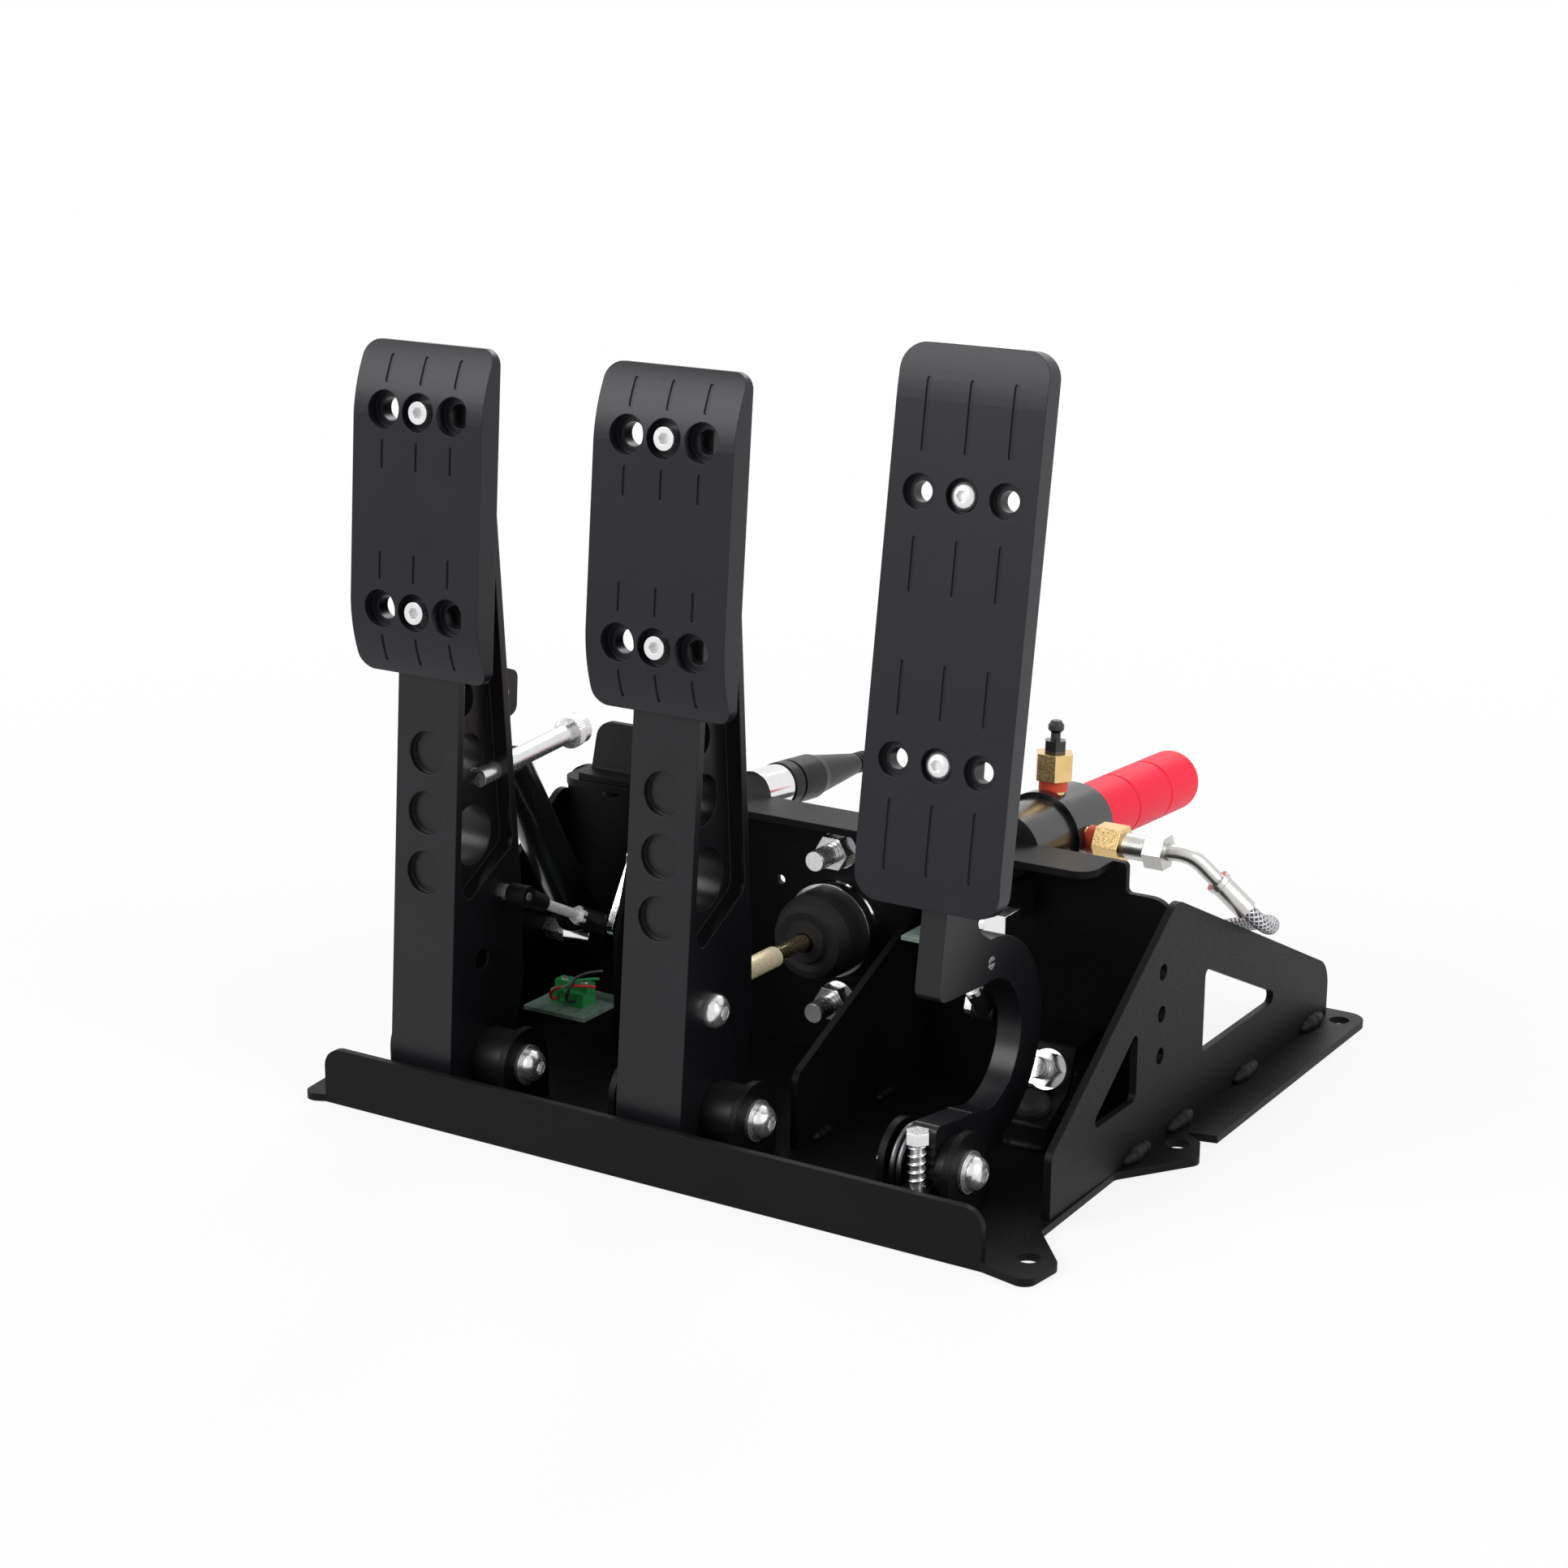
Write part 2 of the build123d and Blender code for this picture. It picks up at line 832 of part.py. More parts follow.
def pivot_bushes():
    bushes = []
    for centre, left, right, width in pedal_ears:
        left_size = coil_bush_diameter if width == throttle_thick else bush_diameter
        gaps = [
            (centre - left, centre - width / 2 - side_play, left_size),
            (centre + width / 2 + side_play, centre + right, bush_diameter),
        ]
        for low, high, diameter in gaps:
            spot = (low, pivot_y, pivot_z)
            bushes.append(ring(spot, along_x, high - low, diameter, pivot_bolt + 2 * pivot_fit))
    return Compound(children=bushes)


# Clutch and brake arms
def arm_rear(height):
    """Depth of an arm's rear edge at a height above its knee."""
    share = (height - arm_taper_height) / (arm_top - arm_taper_height)
    return arm_taper_depth + share * (arm_top_depth - arm_taper_depth)


def arm_face(tilt, corners):
    """Corners given as (height, depth, radius) turned to (y, z, radius)."""
    placed = []
    for height, depth, radius in corners:
        _, y, z = arm_point(tilt, 0, height, depth)
        placed.append((y, z, radius))
    return placed


def swing_arm(centre, tilt):
    low, high = centre - arm_width / 2, centre + arm_width / 2
    outline = [
        (arm_top, 0, pocket_round),
        (-hub_radius, 0, hub_radius / 2),
        (-hub_radius, arm_front + hub_radius, hub_radius * 0.95),
        (arm_knee_height, arm_knee_depth, hub_radius),
        (arm_taper_height, arm_taper_depth, arm_taper_height),
        (arm_top, arm_top_depth, pocket_round),
    ]
    arm = slab_x(arm_face(tilt, outline), low, high)
    top = arm_top - pocket_top_gap
    pocket = [
        (top, pocket_front_rim, pocket_round / 2),
        (pocket_low_front + pocket_low_depth, pocket_front_rim, pocket_round),
        (pocket_low_front, pocket_low_depth, pocket_round),
        (pocket_low_rear, arm_rear(pocket_low_rear) - pocket_rear_rim, 2 * pocket_round),
        (top, arm_rear(top) - pocket_rear_rim, pocket_round / 2),
    ]
    for start, end in ((low - cut_over, low + pocket_depth), (high - pocket_depth, high + cut_over)):
        arm = arm - slab_x(arm_face(tilt, pocket), start, end)
    for height, depth, diameter in web_holes:
        spot = arm_point(tilt, low - cut_over, height, depth)
        arm = arm - round_bar(spot, along_x, arm_width + 2 * cut_over, diameter)
    for height in dimple_heights:
        spot = arm_point(tilt, centre, height, -cut_over)
        arm = arm - round_bar(spot, arm_back(tilt), cut_over + dimple_depth, dimple_diameter)
    for height, depth, diameter in (
        (0, arm_front, pivot_bolt + 2 * pivot_fit),
        (cross_hole_height, cross_hole_depth, cross_hole + 2 * pivot_fit),
    ):
        spot = arm_point(tilt, low - cut_over, height, depth)
        arm = arm - round_bar(spot, along_x, arm_width + 2 * cut_over, diameter)
    slot = [
        (rod_slot_low, rod_slot_depth, pocket_round),
        (rod_slot_low, arm_knee_depth + 2 * cut_over, 0),
        (rod_slot_high, arm_knee_depth + 2 * cut_over, 0),
        (rod_slot_high, rod_slot_depth, pocket_round),
    ]
    half = rod_slot_width / 2
    arm = arm - slab_x(arm_face(tilt, slot), centre - half, centre + half)
    for row in (-pad_row, pad_row):
        spot = arm_point(tilt, centre, pad_centre_height + row, -cut_over)
        depth = cut_over + pad_screw_length
        arm = arm - round_bar(spot, arm_back(tilt), depth, pad_screw_shank)
    return arm


# Pads
def pad_plane(centre, tilt):
    """A plane on an arm's front face at the pad's middle: x across, y up the arm."""
    spot = arm_point(tilt, centre, pad_centre_height, 0)
    up = (0, sin(radians(tilt)), cos(radians(tilt)))
    facing_driver = (0, -cos(radians(tilt)), sin(radians(tilt)))
    return Plane(origin=spot, x_dir=(1, 0, 0), z_dir=facing_driver), up


def pad_blank(width, length, thick, end_thick, flat_half, corner):
    """A rounded plate on z = 0 whose front bulges from thin ends to a flat middle."""
    half = length / 2
    bulge = end_thick + (thick - end_thick) * pad_bulge_share
    side = [
        Line((-half, 0), (half, 0)),
        Line((half, 0), (half, end_thick)),
        ThreePointArc(
            (half, end_thick), ((half + flat_half) / 2, bulge), (flat_half, thick)
        ),
        Line((flat_half, thick), (-flat_half, thick)),
        ThreePointArc(
            (-flat_half, thick), (-(half + flat_half) / 2, bulge), (-half, end_thick)
        ),
        Line((-half, end_thick), (-half, 0)),
    ]
    # Local u of the section runs along the pad's length, local v out of the pad.
    section = Plane(origin=(-width / 2, 0, 0), x_dir=(0, 1, 0), z_dir=(1, 0, 0))
    body = extrude(section * make_face(side), amount=width)
    plan = extrude(RectangleRounded(width, length, corner), amount=thick + cut_over)
    return body & plan


def drill(body, u, v, low, high, diameter):
    return body - Pos(u, v, low) * extrude(Circle(diameter / 2), amount=high - low)


def grooved(body, columns, rows, half, top, width, depth):
    """Shallow slots with round ends, one per column and row."""
    for u in columns:
        for a, b in rows:
            length = (b - a) * half
            middle = (a + b) / 2 * half
            slot = Pos(u, middle, top - depth) * extrude(
                Rot(0, 0, 90) * SlotOverall(length, width), amount=depth + cut_over
            )
            body = body - slot
    return body


def short_pad(centre, tilt):
    pad = pad_blank(pad_width, pad_length, pad_thick, pad_end_thick, pad_flat_half, pad_round)
    columns = (-pad_column, 0, pad_column)
    for row in (-pad_row, pad_row):
        for u in columns:
            pad = drill(pad, u, row, pad_thick - pad_bore_depth, pad_thick + cut_over, pad_bore)
            pad = drill(pad, u, row, -cut_over, pad_thick, pad_through if u else pad_screw_shank)
    rows = pad_groove_shares
    pad = grooved(pad, columns, rows[1:3], pad_length / 2, pad_thick, groove_width, groove_depth)
    return pad_plane(centre, tilt)[0].location * pad


def cap_screw(start, direction, shank, length, head, head_height, socket, socket_depth):
    """A cap screw whose head sits at start and whose shank runs against direction."""
    way = Vector(*direction).normalized()
    body = round_bar(start, way, head_height, head)
    foot = Vector(*start) - way * length
    body = body + round_bar((foot.X, foot.Y, foot.Z), way, length, shank)
    top = Vector(*start) + way * (head_height - socket_depth)
    return body - hex_bar((top.X, top.Y, top.Z), way, socket_depth + cut_over, socket)


def short_pad_screws(centre, tilt):
    screws = []
    seat = pad_thick - pad_bore_depth
    for row in (-pad_row, pad_row):
        spot = arm_point(tilt, centre, pad_centre_height + row, -seat)
        out = tuple(-c for c in arm_back(tilt))
        screws.append(
            cap_screw(
                spot,
                out,
                pad_screw_shank,
                seat + pad_screw_length - side_play,
                pad_screw_head,
                pad_screw_head_height,
                pad_screw_socket,
                pad_screw_head_height / 2,
            )
        )
    return Compound(children=screws)


# Throttle
def throttle_face_at(z):
    """The y of the throttle arm's front face at a height."""
    return throttle_face_y + (z - throttle_face_z) * tan(radians(throttle_tilt))


def throttle_arm():
    low, high = throttle_x - throttle_thick / 2, throttle_x + throttle_thick / 2
    block_low = throttle_block_low
    front_low = throttle_face_at(block_low)
    upper = [
        (front_low, block_low, throttle_corner_round),
        (bow_y - bow_inner * 0.1, bow_z + bow_inner * 0.99, 0),
        (bow_y + bow_inner * 0.4, bow_z + bow_outer * 0.9, 0),
        (bow_y, bow_z + bow_outer * 0.99, 0),
        (throttle_face_at(throttle_neck_z) + throttle_neck_depth + throttle_neck_round / 2,
         throttle_neck_z - throttle_neck_round / 2, throttle_neck_round),
        (throttle_face_at(throttle_neck_z) + throttle_neck_depth, throttle_neck_z + throttle_neck_round, 0),
        (throttle_face_at(throttle_top_z) + throttle_top_depth, throttle_top_z, pocket_round),
        (throttle_face_at(throttle_top_z), throttle_top_z, pocket_round),
    ]
    block = slab_x(upper, low, high)
    bow = ring((low, bow_y, bow_z), along_x, throttle_thick, 2 * bow_outer, 2 * bow_inner)
    mouth = [
        (bow_y - bow_outer - cut_over, throttle_block_low, 0),
        (bow_y - bow_inner * 0.1, bow_z + bow_inner, 0),
        (bow_y, bow_z, 0),
        (throttle_beam_knee_y, throttle_beam_knee_z, 0),
        (bow_y - bow_outer - cut_over, throttle_beam_z, 0),
    ]
    bow = bow - slab_x(mouth, low - cut_over, high + cut_over)
    beam = [
        (throttle_wall_y, ledge_low_z, 0),
        (pivot_y, pivot_z - throttle_hub, 0),
        (bow_y, bow_z - bow_outer, 0),
        (bow_y, bow_z - bow_inner, 0),
        (throttle_beam_knee_y, throttle_beam_knee_z, 0),
        (throttle_wall_y, throttle_beam_z, pocket_round),
    ]
    ledge = [
        (ledge_front_y, ledge_low_z, 0),
        (throttle_wall_y + cut_over, ledge_low_z, 0),
        (throttle_wall_y + cut_over, ledge_top_z, 0),
        (ledge_front_y, ledge_top_z, 0),
    ]
    arm = block + bow + slab_x(beam, low, high) + slab_x(ledge, low, high)
    arm = arm + round_bar((low, pivot_y, pivot_z), along_x, throttle_thick, 2 * throttle_hub)
    through = throttle_thick + 2 * cut_over
    arm = arm - round_bar((low - cut_over, pivot_y, pivot_z), along_x, through, pivot_bolt + 2 * pivot_fit)
    arm = arm - round_bar((low - cut_over, throttle_pin_y, throttle_pin_z), along_x, through, throttle_pin)
    arm = arm - round_bar(
        (throttle_x, idle_y, ledge_low_z - cut_over),
        (0, 0, 1),
        ledge_top_z - ledge_low_z + 2 * cut_over,
        idle_bolt + 2 * pivot_fit,
    )
    for row in (tpad_row_low, tpad_row_high):
        spot = throttle_pad_place(0, row, cut_over)
        arm = arm - round_bar(spot, throttle_back, cut_over + tpad_screw_length, tpad_screw_shank)
    return arm


throttle_back = (0, cos(radians(throttle_tilt)), -sin(radians(throttle_tilt)))


def throttle_pad_place(u, v, out):
    """A place on the throttle pad's back: u across, v up from its low end, out to the driver."""
    low_y = throttle_face_at(tpad_low_z)
    y = low_y + v * sin(radians(throttle_tilt)) - out * cos(radians(throttle_tilt))
    z = tpad_low_z + v * cos(radians(throttle_tilt)) + out * sin(radians(throttle_tilt))
    return (throttle_x + u, y, z)


def throttle_pad():
    pad = pad_blank(
        tpad_width, tpad_length, tpad_thick, tpad_end_thick, tpad_length * 0.4, tpad_round
    )
    half = tpad_length / 2
    columns = (-tpad_column, 0, tpad_column)
    for row in (tpad_row_low - half, tpad_row_high - half):
        for u in columns:
            pad = drill(pad, u, row, tpad_thick - tpad_bore_depth, tpad_thick + cut_over, tpad_bore)
            pad = drill(pad, u, row, -cut_over, tpad_thick, tpad_through if u else tpad_screw_shank)
    rows = tpad_groove_shares
    pad = grooved(pad, columns, rows[1:3], half, tpad_thick, groove_width, groove_depth)
    plane = Plane(
        origin=throttle_pad_place(0, half, 0),
        x_dir=(1, 0, 0),
        z_dir=tuple(-c for c in throttle_back),
    )
    return plane.location * pad


def throttle_pad_screws():
    screws = []
    seat = tpad_thick - tpad_bore_depth
    out = tuple(-c for c in throttle_back)
    for row in (tpad_row_low, tpad_row_high):
        spot = throttle_pad_place(0, row, seat)
        head = dome_head(spot, out, tpad_screw_head, tpad_screw_height, button_socket * 0.8,
                         tpad_screw_height / 2)
        shank = round_bar(spot, throttle_back, seat + tpad_screw_length - side_play, tpad_screw_shank)
        screws.append(head + shank)
    return Compound(children=screws)


def throttle_pin_piece():
    """The slotted pin through the throttle arm, with the link's thinner stud on its end."""
    right = throttle_x + throttle_thick / 2
    left = right - throttle_thick
    spot = (left, throttle_pin_y, throttle_pin_z)
    pin = round_bar(spot, along_x, throttle_thick, throttle_pin)
    cup_left = throttle_link_x - link_cup / 2
    cup_right = throttle_link_x + link_cup / 2 + side_play
    stud = round_bar((cup_left, *spot[1:]), along_x, left - cup_left, link_stud)
    collar = round_bar((cup_right, *spot[1:]), along_x, left - cup_right, link_nut_flats)
    slot = box_between(
        (right - 1.2 * groove_width, throttle_pin_y - throttle_pin, throttle_pin_z - groove_depth),
        (right + cut_over, throttle_pin_y + throttle_pin, throttle_pin_z + groove_depth),
    )
    return pin + stud + collar - slot


def idle_stop_bolt():
    tip = sheet + idle_tip_gap
    spot = (throttle_x, idle_y, tip)
    bolt = round_bar(spot, (0, 0, 1), idle_head_low - tip, idle_bolt)
    head = hex_bar((throttle_x, idle_y, idle_head_low), (0, 0, 1), idle_head_height, idle_head_flats)
    return bolt + head


def spring_body(edges, wire):
    path = Wire(edges)
    start = Plane(origin=path @ 0, z_dir=path % 0)
    return sweep(start * Circle(wire / 2), path=path)


def idle_stop_spring():
    radius = spring_mean / 2
    low = ledge_top_z + spring_wire / 2 + side_play
    high = idle_head_low - spring_wire / 2 - side_play
    pitch = (high - low) / idle_turns
    edges = coil_path(radius, pitch, 2 * idle_turns)
    least_gap(radius, pitch, 2 * idle_turns, spring_wire, "idle_stop_spring")
    return Pos(throttle_x, idle_y, low) * spring_body(edges, spring_wire)


def throttle_return_spring():
    """A coil about the pivot whose leg runs back along the base and turns up."""
    radius = return_mean_radius
    first = throttle_x - throttle_ear_left + return_wire / 2 + return_play
    edges = coil_path(radius, return_pitch, return_half_turns, -return_leg_dip, -1)
    least_gap(radius, return_pitch, return_half_turns, return_wire, "throttle_return_spring")
    # The coil's Z becomes X, and its x points down.
    frame = Plane(origin=(first, pivot_y, pivot_z), x_dir=(0, 0, -1), z_dir=(1, 0, 0))
    placed = [frame.location * edge for edge in edges]
    start = placed[0] @ 0
    heading = (placed[0] % 0).normalized()
    corner = start - heading * ((return_leg_end_y - start.Y) / -heading.Y)
    tip = corner + Vector(0, 0, return_leg_rise)
    leg = FilletPolyline(tuple(tip), tuple(corner), tuple(start), radius=return_wire * 1.5)
    end = placed[-1] @ 1
    tail = Line(end, end + (placed[-1] % 1).normalized() * return_wire)
    path = Wire([*leg.edges(), *placed, *tail.edges()])
    begin = Plane(origin=path @ 0, z_dir=path % 0)
    return sweep(begin * Circle(return_wire / 2), path=path)


stop_way = (0, -cos(radians(stop_bolt_rise)), sin(radians(stop_bolt_rise)))


def on_stop_bolt(along):
    """A place on the stop bolt's axis, measured back from its tip."""
    spot = Vector(throttle_x, stop_tip_y, stop_tip_z) - Vector(*stop_way) * along
    return (spot.X, spot.Y, spot.Z)


stop_face_along = stop_nut_along + nut_height + washer_thickness


def throttle_stop_bracket():
    """A bent strip: a foot, a slope, a face square to the stop bolt and a flat top."""
    low = throttle_x - stop_bracket_width / 2
    rise = Vector(0, sin(radians(stop_bolt_rise)), cos(radians(stop_bolt_rise)))
    axis = Vector(*on_stop_bolt(stop_face_along))
    knee = axis - rise * stop_face_low
    top = axis + rise * stop_face_high
    back = Vector(*stop_way) * -sheet
    corners = [
        (stop_front_y, sheet, 0),
        (stop_front_y + sheet, sheet, 0),
        (stop_front_y + sheet, stop_front_z - fold_round, 0),
        (knee.Y + back.Y, knee.Z + back.Z, 0),
        (knee.Y + back.Y + (top.Z - sheet - knee.Z - back.Z) * rise.Y / rise.Z, top.Z - sheet, 0),
        (bulkhead_y, top.Z - sheet, 0),
        (bulkhead_y, top.Z, 0),
        (top.Y, top.Z, fold_round),
        (knee.Y, knee.Z, 0),
        (stop_front_y, stop_front_z, fold_round),
    ]
    bracket = slab_x(corners, low, low + stop_bracket_width)
    hole = round_bar(
        on_stop_bolt(stop_face_along - cut_over),
        tuple(-c for c in stop_way),
        sheet + 2 * cut_over,
        stop_bolt + 2 * pivot_fit,
    )
    return bracket - hole


def bumper_seat():
    """The point of the bracket's slope under the bumper's middle, and the slope's angle."""
    rise = Vector(0, sin(radians(stop_bolt_rise)), cos(radians(stop_bolt_rise)))
    knee = Vector(*on_stop_bolt(stop_face_along)) - rise * stop_face_low
    share = (bumper_y - stop_front_y) / (knee.Y - stop_front_y)
    angle = atan2(knee.Z - stop_front_z, knee.Y - stop_front_y)
    return (throttle_x, bumper_y, stop_front_z + share * (knee.Z - stop_front_z)), angle


def throttle_bumper():
    spot, angle = bumper_seat()
    out = (0, -sin(angle), cos(angle))
    radius = bumper_diameter / 2
    profile = [
        (0, 0),
        (radius, 0),
        (radius, bumper_height * 0.4),
        (radius * 0.86, bumper_height * 0.75),
        (radius * 0.5, bumper_height),
        (0, bumper_height),
    ]
    return turned(spot, out, profile)


# Studs, nuts and washers of one size: the master cylinder's two and the throttle stop
master_stud_length = bulkhead_rear + master_flange_thick - stud_tip_y
along_y = (0, 1, 0)


def long_studs():
    """The master cylinder's two studs and the throttle's stop stud."""
    studs = []
    for rise in (-stud_rise, stud_rise):
        spot = (brake_x, stud_tip_y, master_z + rise)
        studs.append(round_bar(spot, along_y, master_stud_length, stud_diameter))
    length = stop_face_along + sheet + nut_height + cut_over
    studs.append(round_bar(on_stop_bolt(0), tuple(-c for c in stop_way), length, stop_bolt))
    return Compound(children=studs)


def nut_places():
    """Start and direction of each nut on the long studs."""
    places = []
    for rise in (-stud_rise, stud_rise):
        y = bulkhead_y - washer_thickness - nut_height
        places.append(((brake_x, y, master_z + rise), along_y))
    away = tuple(-c for c in stop_way)
    places.append((on_stop_bolt(stop_nut_along), away))
    places.append((on_stop_bolt(stop_face_along + sheet), away))
    return places


def stud_nuts():
    nuts = []
    for spot, way in nut_places():
        nut = hex_bar(spot, way, nut_height, nut_flats)
        nuts.append(nut - round_bar(spot, way, nut_height, stud_diameter + 2 * pivot_fit))
    return Compound(children=nuts)


def washers():
    """Every washer of the pivots, the master cylinder's studs and the throttle stop."""
    hole = pivot_bolt + 2 * pivot_fit
    rings = [
        ring((centre + right + sheet, pivot_y, pivot_z), along_x, washer_thickness, washer_diameter, hole)
        for centre, _, right, _ in pedal_ears
    ]
    for spot, way in nut_places()[:3]:
        start = Vector(*spot) + Vector(*way) * nut_height
        rings.append(ring(tuple(start), way, washer_thickness, washer_diameter, hole))
    return Compound(children=rings)


# Clutch stop: a bent tab on the flange with its screw
def clutch_stop_bracket():
    front = bulkhead_y - flange_reach
    lean = tan(radians(tab_lean))
    bend_y = front + tab_foot_reach
    top_y = bend_y + (tab_top_z - flange_top - sheet) * lean
    corners = [
        (front + groove_depth, flange_top, 0),
        (bend_y + sheet, flange_top, fold_round),
        (top_y + sheet, tab_top_z, 0),
        (top_y, tab_top_z, 0),
        (bend_y, flange_top + sheet, fold_round / 2),
        (front + groove_depth, flange_top + sheet, 0),
    ]
    tab = slab_x(corners, tab_left_x, tab_right_x)
    shape = [
        (tab_left_x, flange_top, 0),
        (tab_right_x, flange_top, 0),
        (tab_right_x, tab_top_z, tab_round),
        (tab_left_x, tab_top_z, tab_round),
    ]
    span = 2 * (flange_reach + sheet)
    tab = tab & extrude(Plane.XZ.offset(-(front + span)) * corner_face(shape), amount=2 * span)
    x, y = tab_screw_place()
    tab = tab - round_bar((x, y, flange_top - cut_over), (0, 0, 1), sheet + 2 * cut_over, tab_screw)
    return Compound(children=[tab, tab_screw_piece()])


def tab_screw_place():
    return ((tab_left_x + tab_right_x) / 2, bulkhead_y - flange_reach + tab_foot_reach / 2)


def tab_screw_piece():
    x, y = tab_screw_place()
    low = flange_top - sheet - tab_screw_head_height
    head = round_bar((x, y, low), (0, 0, 1), tab_screw_head_height, tab_screw_head)
    shank = round_bar((x, y, low), (0, 0, 1), tab_screw_head_height + 2 * sheet, tab_screw)
    return head + shank


def stop_screw_hole():
    """The blind hole of the stop screw in the clutch arm's rear edge."""
    depth = arm_rear(stop_screw_height)
    seat = Vector(*arm_point(clutch_tilt, stop_screw_x, stop_screw_height, depth))
    way = Vector(*rear_way(clutch_tilt))
    start = seat - way * stop_screw_sink
    return round_bar(tuple(start), tuple(way), stop_screw_sink + cut_over, stop_screw_shank)


def clutch_stop_screw():
    """A long cap screw in the arm's rear edge, square to that edge."""
    depth = arm_rear(stop_screw_height)
    seat = Vector(*arm_point(clutch_tilt, stop_screw_x, stop_screw_height, depth))
    way = Vector(*rear_way(clutch_tilt))
    start = seat - way * stop_screw_sink
    shank = round_bar(tuple(start), tuple(way), stop_screw_sink + stop_screw_reach, stop_screw_shank)
    head_at = seat + way * (stop_screw_reach - stop_screw_head_height)
    head = round_bar(tuple(head_at), tuple(way), stop_screw_head_height, stop_screw_head)
    top = seat + way * (stop_screw_reach - stop_screw_socket_depth)
    socket = hex_bar(tuple(top), tuple(way), stop_screw_socket_depth + cut_over, stop_screw_socket)
    return shank + head - socket


def rear_way(tilt):
    """The direction square to an arm's tapered rear edge."""
    taper = atan2(arm_taper_depth - arm_top_depth, arm_top - arm_taper_height)
    angle = taper - radians(tilt)
    return (0, cos(angle), sin(angle))


def clutch_lug():
    """A lug welded to the clutch arm's rear edge, for the strut's upper stud."""
    low = strut_x + lug_gap
    half = lug_height / 2
    corners = [
        (lug_middle - half, arm_rear(lug_middle - half), 0),
        (lug_middle + half, arm_rear(lug_middle + half), 0),
        (lug_middle + lug_round, arm_rear(lug_middle) + lug_reach + lug_round, lug_round / 2),
        (lug_middle - lug_round, arm_rear(lug_middle) + lug_reach + lug_round, lug_round / 2),
    ]
    lug = slab_x(arm_face(clutch_tilt, corners), low, low + lug_thick)
    hole = round_bar((low - cut_over, *strut_top[1:]), along_x, lug_thick + 2 * cut_over, ball_shank)
    return lug - hole


def clutch_studs():
    """The strut's upper stud in its lug, and the link's stud in the arm's right side."""
    low = strut_x + socket_diameter / 2 + ball_fit
    upper = round_bar((low, *strut_top[1:]), along_x, strut_x + lug_gap + lug_thick - low, ball_shank)
    arm_right = clutch_x + arm_width / 2
    end = clutch_link_x + link_cup / 2
    side = round_bar(
        (arm_right, clutch_link_front_y, clutch_link_front_z), along_x, end - arm_right, link_stud
    )
    collar = round_bar(
        (arm_right, clutch_link_front_y, clutch_link_front_z),
        along_x,
        clutch_link_x - link_cup / 2 - side_play - arm_right,
        link_nut_flats,
    )
    return Compound(children=[upper, side + collar])


# Clutch strut
strut_low = (strut_x, strut_low_y, strut_low_z)
strut_top = arm_point(clutch_tilt, strut_x, lug_middle, arm_rear(lug_middle) + lug_reach)


def strut_axis():
    return ends_between(strut_low, strut_top)


def on_strut(along):
    way, _ = strut_axis()
    spot = Vector(*strut_low) + way * along
    return (spot.X, spot.Y, spot.Z)


def strut_cylinder_piece():
    way, _ = strut_axis()
    way = tuple(way)
    radius = strut_cylinder / 2
    length = strut_cylinder_length
    profile = [
        (0, 0),
        (radius - fold_round, 0),
        (radius, fold_round),
        (radius, length - fold_round),
        (radius - fold_round, length),
        (0, length),
    ]
    body = turned(on_strut(strut_end_gap), way, profile)
    bore_from = strut_end_gap + length - strut_overlap - strut_stroke_room
    bore = round_bar(
        on_strut(bore_from), way, strut_overlap + strut_stroke_room + cut_over, strut_rod + 2 * pivot_fit
    )
    return body - bore


def strut_socket(end, toward, hole):
    """A ball socket whose cross bore runs along X, with its neck towards the strut."""
    low = (strut_x - socket_diameter / 2, end[1], end[2])
    body = round_bar(low, along_x, socket_diameter, socket_length)
    neck = round_bar(end, toward, strut_end_gap, socket_neck)
    body = body + neck
    if hole:
        body = body - round_bar(
            (low[0] - cut_over, end[1], end[2]), along_x, socket_diameter, hole
        )
    return body


def strut_end_low():
    way, _ = strut_axis()
    return strut_socket(strut_low, tuple(way), ball_shank + 2 * pivot_fit)


def strut_end_high():
    way, _ = strut_axis()
    return strut_socket(strut_top, tuple(way * -1), 0)


def strut_rod_piece():
    way, length = strut_axis()
    start = strut_end_gap + strut_cylinder_length - strut_overlap
    return round_bar(on_strut(start), tuple(way), length - strut_end_gap - start, strut_rod)


def strut_stud():
    """The stud through the left side plate's lowest hole, with its nut and collar."""
    outer = left_side_x - sheet - nut_height * 0.7
    end = strut_x + socket_diameter / 2 - cut_over - side_play
    stud = round_bar((outer, strut_low_y, strut_low_z), along_x, end - outer, ball_shank)
    nut = hex_bar((outer, strut_low_y, strut_low_z), along_x, nut_height * 0.7, stud_nut_flats)
    collar_end = strut_x - socket_diameter / 2 - ball_fit
    collar = hex_bar(
        (left_side_x, strut_low_y, strut_low_z), along_x, collar_end - left_side_x, stud_nut_flats
    )
    return stud + nut + collar


# Brake master cylinder
pin_spot = arm_point(brake_tilt, brake_x, cross_hole_height, cross_hole_depth)
piston_spot = (brake_x, pushrod_piston_y, master_z)


